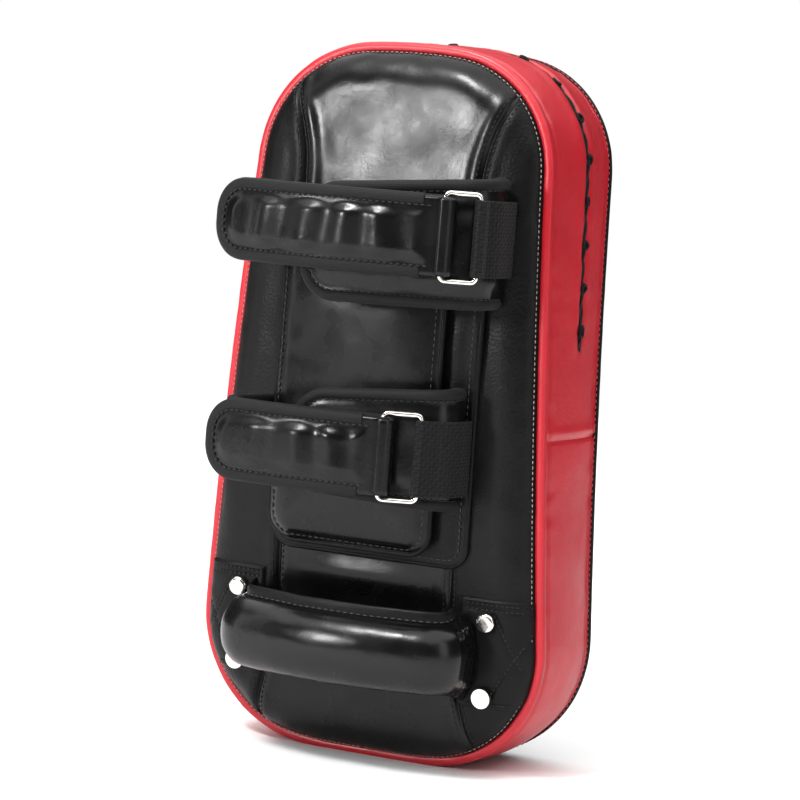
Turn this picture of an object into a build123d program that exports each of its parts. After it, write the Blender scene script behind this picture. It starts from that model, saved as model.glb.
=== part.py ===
from build123d import *
import math
import os

os.makedirs("parts", exist_ok=True)

# A forearm pad for striking practice, standing on its lower end. +Z runs up its length, the arm side
# faces -Y, the strike face faces +Y, and +X is the wearer's right when looking at the arm side.
# The origin is the centre of the small flat that it stands on. All sizes are in millimetres.

# Outline of the pad, seen from the arm side
pad_length = 402
foot_half = 26
bow_x = 68
bow_height = 4.6
bottom_half_width = 109.9
bottom_shoulder = 13.7
top_half_width = 87.2
top_shoulder = 390.9
bottom_corner_radius = 70
top_corner_radius = 68

# Thickness of the pad between its two edge seams, and its lengthwise bend
foot_thickness = 59
head_thickness = 85
bend_radius = 2188
bend_apex = 248
arm_crown = 14
strike_crown = 15
crown_fillet = 12
leather = 2.4
gusset_thickness = 2.6
piping_width = 3
piping_proud = 1.2
foam_gap = 5
arm_foam_depth = 18
strike_foam_depth = 26

# Lacing in the upper half of the gusset
lace_share = 0.56
lace_end = 243
lace_width = 4.6
lace_proud = 2.4
lace_knots_a_side = 8
knot_pitch = 24
knot_radius = 3.4
slit_width = 2
backing_half = 14
backing_overlap = 12
cross_seam = 191

# Centre panel of the arm side, an hourglass: half widths at the bottom, at the waist and at the top
waist_half = 55
flare_half = 72
flare_height = 46

# Forearm cushion: a thin base and a thicker pad on it
cushion_left = -57
cushion_right = 64.5
cushion_bottom = 116
cushion_top = 300
cushion_corner = 14
cushion_step = 16
cushion_base_height = 4
cushion_pad_height = 11

# Handle band, its rivets and the padded grip
band_low = 40
band_high = 102
band_inner = 62
band_thickness = 2.4
rivet_x = 78
rivet_heights = (48, 90)
rivet_cap_radius = 5.6
rivet_cap_height = 2.6
rivet_post_radius = 2
post_length = 9
washer_radius = 5
washer_thickness = 1
grip_height = 68
grip_half_height = 20
grip_half_depth = 15
grip_reach = 51
grip_half = 61
grip_drop = 10
grip_foot = 18.4
grip_elbow = 18
grip_bow = 220
flange_height = 9
flange_thickness = 3

# Cuffs: each has a right leaf, a webbing loop, a ring, a strap and a tongue that folds back over it.
# x of the ring's bars, of the tongue's tip and of the strap's and the leaf's bends, and heights in z.
cuffs = {
    "upper": {
        "left_bar": 56.5,
        "right_bar": 73,
        "bar_reach": 60,
        "tip": -78,
        "strap_bend": -56,
        "strap_root": -63,
        "leaf_start": -28,
        "shoulder": 62.5,
        "webbing_skip": 35,
        "leaf_root": 71.5,
        "leaf_root_rise": 14.8,
        "strap_middle": 299.5,
        "leaf_middle": 297,
        "leaf_height": 71,
    },
    "lower": {
        "left_bar": 30.5,
        "right_bar": 49,
        "bar_reach": 62,
        "tip": -74,
        "strap_bend": -56,
        "strap_root": -63,
        "leaf_start": -28,
        "shoulder": 47.8,
        "webbing_skip": 20,
        "leaf_root": 57,
        "leaf_root_rise": 20,
        "strap_middle": 178.6,
        "leaf_middle": 183,
        "leaf_height": 66,
    },
}
crown_arc_radius = 230
layer_offset = 4.4
leaf_offset = 12.2
wire_offset = 8.1
strap_bend_radius = 17
strap_bend_angle = 100
root_rise = 15
shoulder_radius = 14
shoulder_angle = 75
strap_thickness = 5
strap_height = 42
leaf_thickness = 7
webbing_thickness = 1.6
webbing_height = 41
wire_radius = 1.4
running_gap = 0.3
ring_height = 50
ring_corner = 3
sleeve_height = 41
opening_cut = 7.4
strap_cut = 8.6
binding_width = 7
binding_proud = 0.6
rim_margin = 4
patch_thickness = 1.3
patch_height = 27
patch_margin = 14
hook_inset = 6


def arm_seam(z):
    """Y of the arm-side edge seam at height z."""
    rise = (z - bend_apex) ** 2 - bend_apex ** 2
    return rise / (2 * bend_radius) - foot_thickness / 2


def strike_seam(z):
    """Y of the strike-side edge seam at height z."""
    return arm_seam(z) + foot_thickness + (head_thickness - foot_thickness) * z / pad_length


def lace_line(z):
    """Y of the lacing's middle at height z."""
    return arm_seam(z) + lace_share * (strike_seam(z) - arm_seam(z))


def outline(inset):
    """The pad's outline on the XZ plane, moved inwards by inset or outwards where it is negative."""
    with BuildSketch(Plane.XZ) as shape:
        with BuildLine():
            Line((0, 0), (foot_half, 0))
            ThreePointArc((foot_half, 0), (bow_x, bow_height), (bottom_half_width, bottom_shoulder))
            Line((bottom_half_width, bottom_shoulder), (top_half_width, top_shoulder))
            ThreePointArc(
                (top_half_width, top_shoulder),
                (0, pad_length),
                (-top_half_width, top_shoulder),
            )
            Line((-top_half_width, top_shoulder), (0, 0))
        make_face()
        fillet(shape.vertices().sort_by(Axis.Y)[-2:].sort_by(Axis.X)[-1], radius=top_corner_radius)
        fillet(shape.vertices().sort_by(Axis.X)[-1], radius=bottom_corner_radius)
        split(bisect_by=Plane.YZ, keep=Keep.TOP)
        mirror(about=Plane.YZ)
        if inset:
            offset(amount=-inset)
    return shape.sketch


def side_band(low, high, bottom=-20, top=pad_length + 20):
    """A slice of the side view between two curves y = low(z) and y = high(z), on the YZ plane."""
    middle = (bottom + top) / 2
    with BuildSketch(Plane.YZ) as shape:
        with BuildLine():
            ThreePointArc((low(bottom), bottom), (low(middle), middle), (low(top), top))
            Line((low(top), top), (high(top), top))
            ThreePointArc((high(top), top), (high(middle), middle), (high(bottom), bottom))
            Line((high(bottom), bottom), (low(bottom), bottom))
        make_face()
    return shape.sketch


def slab(inset, low, high, bottom=-20, top=pad_length + 20):
    """A bent slab: the inset outline, kept between two side curves."""
    front_view = outline(inset)
    side_view = side_band(low, high, bottom, top)
    with BuildPart() as body:
        extrude(front_view, amount=150, both=True)
        extrude(side_view, amount=150, both=True, mode=Mode.INTERSECT)
    return body.part


def wall(outer, inner, low, high, bottom=-20, top=pad_length + 20):
    """A bent strip that runs round the pad's rim, between two insets and two side curves."""
    outer_view = outline(outer)
    inner_view = outline(inner)
    side_view = side_band(low, high, bottom, top)
    with BuildSketch(Plane.XZ) as ring:
        add(outer_view)
        add(inner_view, mode=Mode.SUBTRACT)
    with BuildPart() as body:
        extrude(ring.sketch, amount=150, both=True)
        extrude(side_view, amount=150, both=True, mode=Mode.INTERSECT)
    return body.part


def crown_slab(inset, base, rise, rounding):
    """A slab that stands off a seam curve by rise, with its outer edge rounded over."""
    low = (lambda z: base(z) + min(rise, 0))
    high = (lambda z: base(z) + max(rise, 0))
    square_edged = slab(inset, low, high)
    with BuildPart() as body:
        add(square_edged)
        outer = body.faces().sort_by(SortBy.AREA)[-2:].sort_by(Axis.Y)[0 if rise < 0 else -1]
        fillet(outer.edges(), radius=rounding)
    return body.part


def save(block, name):
    """Label a finished sub-part and write it."""
    block.part.label = name
    export_step(block.part, "parts/" + name + ".step")


# ---- Foam layers ----


def arm_foam_back(z):
    return arm_seam(z) + arm_foam_depth


def strike_foam_front(z):
    return strike_seam(z) - strike_foam_depth


arm_core = crown_slab(foam_gap, arm_seam, leather - arm_crown, crown_fillet - leather)
strike_core = crown_slab(foam_gap, strike_seam, strike_crown - leather, crown_fillet - leather)
arm_layer = slab(foam_gap, arm_seam, arm_foam_back)
middle_layer = slab(foam_gap, arm_foam_back, strike_foam_front)
strike_layer = slab(foam_gap, strike_foam_front, strike_seam)

with BuildPart() as arm_side_foam:
    add(arm_layer)
    add(arm_core)

with BuildPart() as middle_foam:
    add(middle_layer)
save(middle_foam, "middle_foam")

with BuildPart() as strike_foam:
    add(strike_layer)
    add(strike_core)
save(strike_foam, "strike_foam")

# ---- Strike face ----
strike_outside = crown_slab(0, strike_seam, strike_crown, crown_fillet)

with BuildPart() as strike_face_cover:
    add(strike_outside)
    add(strike_core, mode=Mode.SUBTRACT)
save(strike_face_cover, "strike_face_cover")

# ---- Arm side: a centre panel and two side panels, split along the hourglass seams ----


def hourglass():
    """The centre panel's outline, on the XZ plane."""
    low = flare_height + 60
    high = pad_length - 80
    past_foot = -20
    past_head = pad_length + 20
    head_half = flare_half + 12
    with BuildSketch(Plane.XZ) as shape:
        with BuildLine():
            Polyline(
                (-flare_half, past_foot),
                (-waist_half, low),
                (-waist_half, high),
                (-head_half, past_head),
                (head_half, past_head),
                (waist_half, high),
                (waist_half, low),
                (flare_half, past_foot),
                close=True,
            )
        make_face()
    return shape.sketch


arm_outside = crown_slab(0, arm_seam, -arm_crown, crown_fillet)
centre_outline = hourglass()

with BuildPart() as centre_panel:
    add(arm_outside)
    add(arm_core, mode=Mode.SUBTRACT)
    extrude(centre_outline, amount=150, both=True, mode=Mode.INTERSECT)
save(centre_panel, "centre_panel")

side_panels = {}
for side, direction in (("left", -1), ("right", 1)):
    with BuildPart() as side_panel:
        add(arm_outside)
        add(arm_core, mode=Mode.SUBTRACT)
        extrude(centre_outline, amount=150, both=True, mode=Mode.SUBTRACT)
        with Locations((-direction * 150, 0, pad_length / 2)):
            Box(300, 400, pad_length + 100, mode=Mode.SUBTRACT)
    side_panels[side] = side_panel

# ---- Gusset, its piping and the lacing ----


def piped_arm_edge(z):
    return arm_seam(z) + piping_width


def piped_strike_edge(z):
    return strike_seam(z) - piping_width


def beside_lace(reach):
    """The two side curves that lie reach to each side of the lacing."""
    return (lambda z: lace_line(z) - reach), (lambda z: lace_line(z) + reach)


gusset_wall = wall(0, gusset_thickness, piped_arm_edge, piped_strike_edge)
slit_space = slab(-10, *beside_lace(slit_width / 2), bottom=lace_end)

with BuildPart() as gusset_lower:
    add(gusset_wall)
    split(bisect_by=Plane.XY.offset(cross_seam), keep=Keep.BOTTOM)
save(gusset_lower, "gusset_lower")

with BuildPart() as gusset_upper:
    add(gusset_wall)
    split(bisect_by=Plane.XY.offset(cross_seam), keep=Keep.TOP)
    add(slit_space, mode=Mode.SUBTRACT)
save(gusset_upper, "gusset_upper")

piping_edges = {
    "piping_arm_side": (arm_seam, piped_arm_edge),
    "piping_strike_side": (piped_strike_edge, strike_seam),
}
for name, (near, far) in piping_edges.items():
    piping_wall = wall(-piping_proud, gusset_thickness, near, far)
    with BuildPart() as piping:
        add(piping_wall)
        split(bisect_by=Plane.XY, keep=Keep.TOP)
    save(piping, name)

backing_end = lace_end - backing_overlap
backing_wall = wall(gusset_thickness, foam_gap, *beside_lace(backing_half), bottom=backing_end)
with BuildPart() as lace_backing:
    add(backing_wall)
save(lace_backing, "lace_backing")

lace_wall = wall(-lace_proud, 0, *beside_lace(lace_width / 2), bottom=lace_end)
with BuildPart() as lace_cord:
    add(lace_wall)
save(lace_cord, "lace_cord")

# Knots stand at even steps along the lace, starting above each of its two ends.
rim = outline(-lace_proud / 2).wire()
rim_step = 1 / round(rim.length)


def rim_share(direction):
    """Where the rim's left (-1) or right (1) side passes the lace's end, as a share of its length."""
    shares = [number * rim_step for number in range(round(rim.length))]
    beside = [share for share in shares if rim.position_at(share).X * direction > top_half_width / 2]
    return min(beside, key=lambda share: abs(rim.position_at(share).Z - lace_end))


knot_spots = []
for direction in (-1, 1):
    start = rim_share(direction)
    upwards = 1 if rim.position_at(start + rim_step).Z > lace_end else -1
    for number in range(lace_knots_a_side):
        share = start + upwards * knot_pitch * (number + 0.4) / rim.length
        spot = rim.position_at(share % 1)
        knot_spots.append((spot.X, lace_line(spot.Z), spot.Z))

pad_view = outline(0)
with BuildPart() as lace_knots:
    with Locations(*knot_spots):
        Sphere(knot_radius)
    extrude(pad_view, amount=150, both=True, mode=Mode.SUBTRACT)
    add(lace_cord.part, mode=Mode.SUBTRACT)
save(lace_knots, "lace_knots")

# ---- Handle ----


def arm_face_plane(x, z, rise):
    """A plane on the arm side at (x, z), rise proud of its seam curve, facing outwards."""
    slope = (z - bend_apex) / bend_radius
    return Plane(origin=(x, arm_seam(z), z), x_dir=(1, 0, 0), z_dir=(0, -1, slope)).offset(rise)


def rivet_planes(rise):
    """One plane for each rivet, rise proud of the arm-side seam curve."""
    return [arm_face_plane(side * rivet_x, z, rise) for side in (-1, 1) for z in rivet_heights]


band_outside = crown_slab(0, arm_seam, -arm_crown - band_thickness, crown_fillet)
for side, direction in (("left", -1), ("right", 1)):
    with BuildPart() as band:
        add(band_outside)
        add(arm_outside, mode=Mode.SUBTRACT)
        with Locations((direction * (band_inner + 100), 0, (band_low + band_high) / 2)):
            Box(200, 400, band_high - band_low, mode=Mode.INTERSECT)
        with Locations(*rivet_planes(0)):
            Cylinder(rivet_post_radius, 60, mode=Mode.SUBTRACT)
    save(band, "handle_band_" + side)

with BuildPart() as rivet_caps:
    with Locations(*rivet_planes(arm_crown + band_thickness)):
        Cylinder(rivet_cap_radius, rivet_cap_height, align=(Align.CENTER, Align.CENTER, Align.MIN))
    outer_rims = rivet_caps.faces().filter_by(GeomType.PLANE).group_by(Axis.Y)[0].edges()
    fillet(outer_rims, radius=rivet_cap_height * 0.8)
save(rivet_caps, "rivet_caps")

with BuildPart() as rivet_posts:
    with Locations(*rivet_planes(arm_crown + band_thickness)):
        Cylinder(rivet_post_radius, post_length, align=(Align.CENTER, Align.CENTER, Align.MAX))
    with Locations(*rivet_planes(arm_crown + band_thickness - post_length)):
        Cylinder(washer_radius, washer_thickness, align=(Align.CENTER, Align.CENTER, Align.MIN))
save(rivet_posts, "rivet_posts")

for side, side_panel in side_panels.items():
    with side_panel:
        add(rivet_posts.part, mode=Mode.SUBTRACT)
    save(side_panel, "side_panel_" + side)

with arm_side_foam:
    add(rivet_posts.part, mode=Mode.SUBTRACT)
save(arm_side_foam, "arm_side_foam")

grip_plane = Plane(origin=(0, arm_seam(grip_height), grip_height), x_dir=(1, 0, 0), z_dir=(0, 0, -1))
with BuildLine(grip_plane) as grip_path:
    FilletPolyline(
        (-grip_half, grip_foot),
        (-grip_half, grip_reach - grip_drop),
        (0, grip_reach),
        (grip_half, grip_reach - grip_drop),
        (grip_half, grip_foot),
        radius=[grip_elbow, grip_bow, grip_elbow],
    )
grip_start = Plane(origin=grip_path.line @ 0, x_dir=(0, 0, 1), z_dir=grip_path.line % 0)

with BuildPart() as handle_core:
    with BuildSketch(grip_start):
        Ellipse(grip_half_height - leather, grip_half_depth - leather)
    sweep(path=grip_path.line)
save(handle_core, "handle_core")

with BuildPart() as handle_cover:
    with BuildSketch(grip_start):
        Ellipse(grip_half_height, grip_half_depth)
        Ellipse(grip_half_height - leather, grip_half_depth - leather, mode=Mode.SUBTRACT)
    sweep(path=grip_path.line)
save(handle_cover, "handle_cover")

with BuildPart() as handle_flange:
    with BuildSketch(grip_start):
        with Locations((grip_half_height + flange_height / 2 - 1, 0)):
            Rectangle(flange_height, flange_thickness)
        Ellipse(grip_half_height, grip_half_depth, mode=Mode.SUBTRACT)
    sweep(path=grip_path.line)
save(handle_flange, "handle_flange")

# ---- Forearm cushion ----
cushion_levels = {
    "cushion_base": (cushion_left, cushion_right, cushion_bottom, arm_crown, cushion_base_height),
    "cushion_pad": (
        cushion_left + 1,
        cushion_right - cushion_step,
        cushion_bottom + 4,
        arm_crown + cushion_base_height,
        cushion_pad_height,
    ),
}
for name, (left, right, bottom, rise, height) in cushion_levels.items():
    with BuildSketch(Plane.XZ) as cushion_view:
        with Locations(((left + right) / 2, (bottom + cushion_top) / 2)):
            RectangleRounded(right - left, cushion_top - bottom, cushion_corner)
    cushion_side = side_band(lambda z: arm_seam(z) - rise - height, lambda z: arm_seam(z) - rise)
    with BuildPart() as cushion:
        extrude(cushion_view.sketch, amount=150, both=True)
        extrude(cushion_side, amount=150, both=True, mode=Mode.INTERSECT)
        if name == "cushion_pad":
            fillet(cushion.faces().sort_by(SortBy.AREA)[-2:].sort_by(Axis.Y)[0].edges(), radius=4)
    save(cushion, name)

# ---- Cuffs ----
# Each cuff is drawn on a plane whose x runs right and whose y runs outwards from the arm-side seam.
# Its layers follow one crown arc, which passes through the ring's left bar.


def crown_arc_point(cuff, x, rise):
    """A point at x on the cuff's crown arc, moved outwards by rise."""
    chord_x = (cuff["left_bar"] + cuff["tip"]) / 2
    half_chord = (cuff["left_bar"] - cuff["tip"]) / 2
    centre_y = cuff["bar_reach"] - math.sqrt(crown_arc_radius ** 2 - half_chord ** 2)
    return (x, centre_y + math.sqrt((crown_arc_radius + rise) ** 2 - (x - chord_x) ** 2))


def crown_arc(cuff, start, end, rise):
    """An arc along the cuff's crown from x = start to x = end."""
    middle = (start + end) / 2
    points = [crown_arc_point(cuff, x, rise) for x in (start, middle, end)]
    return ThreePointArc(*points)


def shoulder_x(cuff, rise):
    """Where a layer of the right leaf, moved outwards by rise, leaves the crown arc."""
    chord_x = (cuff["left_bar"] + cuff["tip"]) / 2
    return chord_x + (cuff["shoulder"] - chord_x) * (1 + rise / (crown_arc_radius - leaf_offset))


def strap_line(cuff):
    """The strap, from beside the ring, round its left bend and down to its root on the pad."""
    with BuildLine() as path:
        top = crown_arc(cuff, cuff["left_bar"] - strap_cut, cuff["strap_bend"], -layer_offset)
        bend = JernArc(top @ 1, top % 1, strap_bend_radius, strap_bend_angle)
        Line(bend @ 1, (cuff["strap_root"], root_rise))
    return path.line


def leaf_line(cuff, start, rise):
    """The right leaf, from x = start over its shoulder and down to its root, moved outwards by rise."""
    with BuildLine() as path:
        top = crown_arc(cuff, start, shoulder_x(cuff, rise), rise - leaf_offset)
        bend = JernArc(top @ 1, top % 1, shoulder_radius + rise, -shoulder_angle)
        Line(bend @ 1, (cuff["leaf_root"] + rise, cuff["leaf_root_rise"]))
    return path.line


def webbing_line(cuff, rise):
    """The webbing on the leaf, from where it leaves its loop down to its root."""
    with BuildLine() as hidden:
        top = crown_arc(cuff, cuff["left_bar"], shoulder_x(cuff, rise), rise - leaf_offset)
        skipped = JernArc(top @ 1, top % 1, shoulder_radius + rise, -cuff["webbing_skip"])
    with BuildLine() as path:
        turn_left = shoulder_angle - cuff["webbing_skip"]
        bend = JernArc(skipped @ 1, skipped % 1, shoulder_radius + rise, -turn_left)
        Line(bend @ 1, (cuff["leaf_root"] + rise, cuff["leaf_root_rise"]))
    return path.line


def tongue_line(cuff, start, rise):
    """The tongue, from x = start near the ring to its free tip, moved outwards by rise."""
    with BuildLine() as path:
        crown_arc(cuff, start, cuff["tip"], rise)
    return path.line


def cuff_plane(cuff, height, lift=0):
    """The drawing plane at the top of a piece that is this high. Its extrusions run downwards."""
    middle = cuff["strap_middle"] + lift
    return Plane(origin=(0, arm_seam(middle), middle + height / 2), x_dir=(1, 0, 0), z_dir=(0, 0, -1))


def strip(cuff, path, thickness, height, lift=0):
    """A bent strip of leather: a path given a thickness and a height."""
    with BuildPart() as body:
        with BuildSketch(cuff_plane(cuff, height, lift)):
            trace(lines=path, line_width=thickness)
        extrude(amount=height)
    return body.part


def bound_edge(cuff, core, path, inner_path, thickness, height, lift=0):
    """A binding that wraps the edges of a strip: top, bottom, and its free end if inner_path is shorter."""
    outside = strip(cuff, path, thickness + 2 * binding_proud, height + 2 * binding_proud, lift)
    inside = strip(cuff, inner_path, thickness + 9, height - 2 * binding_width, lift)
    with BuildPart() as body:
        add(outside)
        add(inside, mode=Mode.SUBTRACT)
        add(core, mode=Mode.SUBTRACT)
    return body


for cuff_name, cuff in cuffs.items():
    leaf_lift = cuff["leaf_middle"] - cuff["strap_middle"]
    left_bar = (cuff["left_bar"], cuff["bar_reach"])
    right_bar = crown_arc_point(cuff, cuff["right_bar"], wire_offset - leaf_offset)

    # Strap
    strap_path = strap_line(cuff)
    strap_core = strip(cuff, strap_path, strap_thickness, strap_height)
    with BuildPart() as strap:
        add(strap_core)
    save(strap, cuff_name + "_strap")
    strap_binding = bound_edge(cuff, strap_core, strap_path, strap_path, strap_thickness, strap_height)
    save(strap_binding, cuff_name + "_strap_binding")

    patch_start = cuff["left_bar"] - patch_margin
    loop_rise = (strap_thickness + patch_thickness) / 2 - layer_offset
    with BuildPart() as loop_patch:
        with BuildSketch(cuff_plane(cuff, patch_height)):
            with BuildLine():
                crown_arc(cuff, patch_start, cuff["tip"] + 2 * patch_margin, loop_rise)
            trace(line_width=patch_thickness)
        extrude(amount=patch_height)
    save(loop_patch, cuff_name + "_loop_patch")

    # Right leaf
    leaf_path = leaf_line(cuff, cuff["leaf_start"], 0)
    leaf_inner_path = leaf_line(cuff, cuff["leaf_start"] + binding_width, 0)
    leaf_core = strip(cuff, leaf_path, leaf_thickness, cuff["leaf_height"], leaf_lift)
    with BuildPart() as leaf:
        add(leaf_core)
    save(leaf, cuff_name + "_leaf")
    leaf_binding = bound_edge(
        cuff, leaf_core, leaf_path, leaf_inner_path, leaf_thickness, cuff["leaf_height"], leaf_lift
    )
    save(leaf_binding, cuff_name + "_leaf_binding")

    # Webbing, sewn down on the leaf and looped round the ring's right bar
    webbing_rise = leaf_thickness / 2 + webbing_thickness + running_gap
    webbing_path = webbing_line(cuff, webbing_rise)
    join = webbing_path @ 0
    with BuildPart() as webbing:
        with BuildSketch(cuff_plane(cuff, webbing_height)):
            with Locations(right_bar):
                Circle(wire_radius + running_gap + webbing_thickness)
            with Locations((join.X, join.Y)):
                Circle(webbing_thickness)
            make_hull()
            trace(lines=webbing_path, line_width=2 * webbing_thickness)
            with Locations(right_bar):
                Circle(wire_radius + running_gap, mode=Mode.SUBTRACT)
        extrude(amount=webbing_height)
    save(webbing, cuff_name + "_webbing")

    # Ring, and the fold of the strap round its left bar
    across = Vector(*right_bar) - Vector(*left_bar)
    wire_high = ring_height / 2 - wire_radius
    ring_plane = Plane(
        origin=cuff_plane(cuff, 0).from_local_coords(Vector(*left_bar)),
        x_dir=(across.X, -across.Y, 0),
        z_dir=(-across.Y, -across.X, 0),
    )
    with BuildLine(ring_plane) as ring_path:
        FilletPolyline(
            (0, wire_high),
            (across.length, wire_high),
            (across.length, -wire_high),
            (0, -wire_high),
            radius=ring_corner,
            close=True,
        )
    ring_start = Plane(origin=ring_path.line @ 0, z_dir=ring_path.line % 0)
    with BuildPart() as ring:
        with BuildSketch(ring_start):
            Circle(wire_radius)
        sweep(path=ring_path.line)
    save(ring, cuff_name + "_ring")

    with BuildPart() as fold:
        with BuildSketch(cuff_plane(cuff, sleeve_height)):
            with Locations(left_bar):
                Circle(opening_cut - 0.7)
                Circle(wire_radius + running_gap, mode=Mode.SUBTRACT)
        extrude(amount=sleeve_height)
    save(fold, cuff_name + "_strap_fold")

    # Tongue
    tongue_start = cuff["left_bar"] - opening_cut
    tongue_path = tongue_line(cuff, tongue_start, layer_offset)
    tongue_core = strip(cuff, tongue_path, strap_thickness, strap_height)
    with BuildPart() as tongue:
        add(tongue_core)
        tip_edges = tongue.faces().sort_by(Axis.X)[0].edges().sort_by(Axis.Z)
        fillet([tip_edges[0], tip_edges[-1]], radius=strap_height / 2 - 2)
    save(tongue, cuff_name + "_tongue")

    rim_path = tongue_line(cuff, tongue_start - rim_margin, layer_offset)
    with BuildLine() as rim_inner_path:
        crown_arc(cuff, tongue_start, cuff["tip"] + binding_width, layer_offset)
    with BuildPart() as tongue_binding:
        add(strip(cuff, rim_path, strap_thickness + 2 * binding_proud, strap_height + 2 * binding_proud))
        tip_edges = tongue_binding.faces().sort_by(Axis.X)[0].edges().sort_by(Axis.Z)
        fillet([tip_edges[0], tip_edges[-1]], radius=strap_height / 2 - 2)
        add(
            strip(cuff, rim_inner_path.line, strap_thickness + 9, strap_height - 2 * binding_width),
            mode=Mode.SUBTRACT,
        )
        add(tongue.part, mode=Mode.SUBTRACT)
    save(tongue_binding, cuff_name + "_tongue_binding")

    hook_rise = layer_offset - (strap_thickness + patch_thickness) / 2
    with BuildPart() as hook_patch:
        with BuildSketch(cuff_plane(cuff, patch_height)):
            with BuildLine():
                crown_arc(cuff, patch_start - hook_inset, cuff["tip"] + patch_margin, hook_rise)
            trace(line_width=patch_thickness)
        extrude(amount=patch_height)
    save(hook_patch, cuff_name + "_hook_patch")
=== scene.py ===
import math

import bmesh
import bpy
import numpy as np
from mathutils import Matrix, Vector


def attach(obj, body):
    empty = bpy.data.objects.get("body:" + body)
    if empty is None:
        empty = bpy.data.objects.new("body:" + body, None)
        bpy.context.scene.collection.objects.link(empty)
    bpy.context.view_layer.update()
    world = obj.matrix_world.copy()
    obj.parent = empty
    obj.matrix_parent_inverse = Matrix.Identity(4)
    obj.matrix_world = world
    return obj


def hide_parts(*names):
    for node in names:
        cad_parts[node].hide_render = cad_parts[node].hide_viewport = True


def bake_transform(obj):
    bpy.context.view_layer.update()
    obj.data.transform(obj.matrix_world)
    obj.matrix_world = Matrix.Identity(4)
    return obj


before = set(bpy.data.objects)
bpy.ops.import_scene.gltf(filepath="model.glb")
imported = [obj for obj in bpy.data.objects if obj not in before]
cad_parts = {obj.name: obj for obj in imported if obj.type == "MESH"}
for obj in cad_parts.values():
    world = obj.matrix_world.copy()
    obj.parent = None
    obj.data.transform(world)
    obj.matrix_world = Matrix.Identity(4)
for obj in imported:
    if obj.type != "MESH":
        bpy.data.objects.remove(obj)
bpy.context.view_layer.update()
MM = 0.001

# ---------------------------------------------------------------------------
# The pad's shape, in millimetres in the part's own frame: +Z up its length, -Y out of the arm side.
# ---------------------------------------------------------------------------
PAD_LENGTH = 402.0
BEND_APEX = 248.0
BEND_RADIUS = 2188.0
FOOT_THICKNESS = 59.0
HEAD_THICKNESS = 85.0
ARM_CROWN = 14.0
STRIKE_CROWN = 15.0
LACE_SHARE = 0.56
LACE_END = 243.0
CROSS_SEAM = 191.0


def arm_seam(z):
    return ((z - BEND_APEX) ** 2 - BEND_APEX ** 2) / (2 * BEND_RADIUS) - FOOT_THICKNESS / 2


def strike_seam(z):
    return arm_seam(z) + FOOT_THICKNESS + (HEAD_THICKNESS - FOOT_THICKNESS) * z / PAD_LENGTH


def lace_line(z):
    return arm_seam(z) + LACE_SHARE * (strike_seam(z) - arm_seam(z))


def hourglass(z):
    """Half width of the centre panel at height z: nearly straight, flaring at both ends."""
    return 54 + 22 * smooth((z - 318) / 90) ** 1.4 + 15 * smooth((92 - z) / 92) ** 1.3


def smooth(t):
    t = np.clip(t, 0, 1)
    return t * t * (3 - 2 * t)


# ---------------------------------------------------------------------------
# Mesh helpers
# ---------------------------------------------------------------------------
def mesh_object(name, verts, faces, uvs=None, shade_smooth=True):
    """An object from vertices in millimetres. uvs is one pair for each vertex."""
    mesh = bpy.data.meshes.new(name)
    mesh.from_pydata((np.asarray(verts, float) * MM).tolist(), [], faces)
    if uvs is not None:
        layer = mesh.uv_layers.new(name="UVMap")
        corner = np.zeros(len(mesh.loops), dtype=np.int32)
        mesh.loops.foreach_get("vertex_index", corner)
        layer.data.foreach_set("uv", np.asarray(uvs, float)[corner].astype(np.float32).ravel())
    mesh.polygons.foreach_set("use_smooth", [shade_smooth] * len(mesh.polygons))
    mesh.update()
    piece = bpy.data.objects.new(name, mesh)
    bpy.context.collection.objects.link(piece)
    return piece


def grid_faces(rows, columns, wrap_rows=False, wrap_columns=False, offset=0, flip=False):
    faces = []
    for i in range(rows if wrap_rows else rows - 1):
        for j in range(columns if wrap_columns else columns - 1):
            a = offset + i * columns + j
            b = offset + i * columns + (j + 1) % columns
            c = offset + ((i + 1) % rows) * columns + (j + 1) % columns
            d = offset + ((i + 1) % rows) * columns + j
            faces.append((a, d, c, b) if flip else (a, b, c, d))
    return faces


def unit(vectors):
    vectors = np.asarray(vectors, float)
    length = np.linalg.norm(vectors, axis=-1, keepdims=True)
    return vectors / np.maximum(length, 1e-9)


def arc_lengths(points):
    steps = np.linalg.norm(np.diff(points, axis=0), axis=1)
    return np.concatenate([[0], np.cumsum(steps)])


def resample(points, count=None, step=None):
    """Points at even steps along an open polyline."""
    points = np.asarray(points, float)
    along = arc_lengths(points)
    if count is None:
        count = max(2, int(round(along[-1] / step)) + 1)
    at = np.linspace(0, along[-1], count)
    return np.column_stack([np.interp(at, along, points[:, k]) for k in range(points.shape[1])])


def tangents(points, closed=False):
    if closed:
        return unit(np.roll(points, -1, axis=0) - np.roll(points, 1, axis=0))
    return unit(np.gradient(points, axis=0))


def sweep(name, points, side, profile, closed=False, caps=True):
    """A profile swept along points. side is the profile's x direction at each point."""
    points = np.asarray(points, float)
    along = tangents(points, closed)
    side = unit(side - along * np.sum(side * along, axis=1, keepdims=True))
    up = np.cross(along, side)
    profile = np.asarray(profile, float)
    if profile.ndim == 2:
        profile = np.repeat(profile[None], len(points), axis=0)
    verts = points[:, None] + profile[..., 0:1] * side[:, None] + profile[..., 1:2] * up[:, None]
    count = profile.shape[1]
    run = np.concatenate([[0], np.cumsum(np.linalg.norm(np.diff(points, axis=0), axis=1))])
    round_profile = np.linspace(0, 1, count, endpoint=False)
    uvs = np.stack(np.broadcast_arrays(run[:, None] * MM, round_profile[None] * 0.02), axis=-1)
    faces = grid_faces(len(points), count, wrap_rows=closed, wrap_columns=True)
    if caps and not closed:
        faces.append(tuple(range(count))[::-1])
        faces.append(tuple(range((len(points) - 1) * count, len(points) * count)))
    return mesh_object(name, verts.reshape(-1, 3), faces, uvs.reshape(-1, 2))


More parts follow.
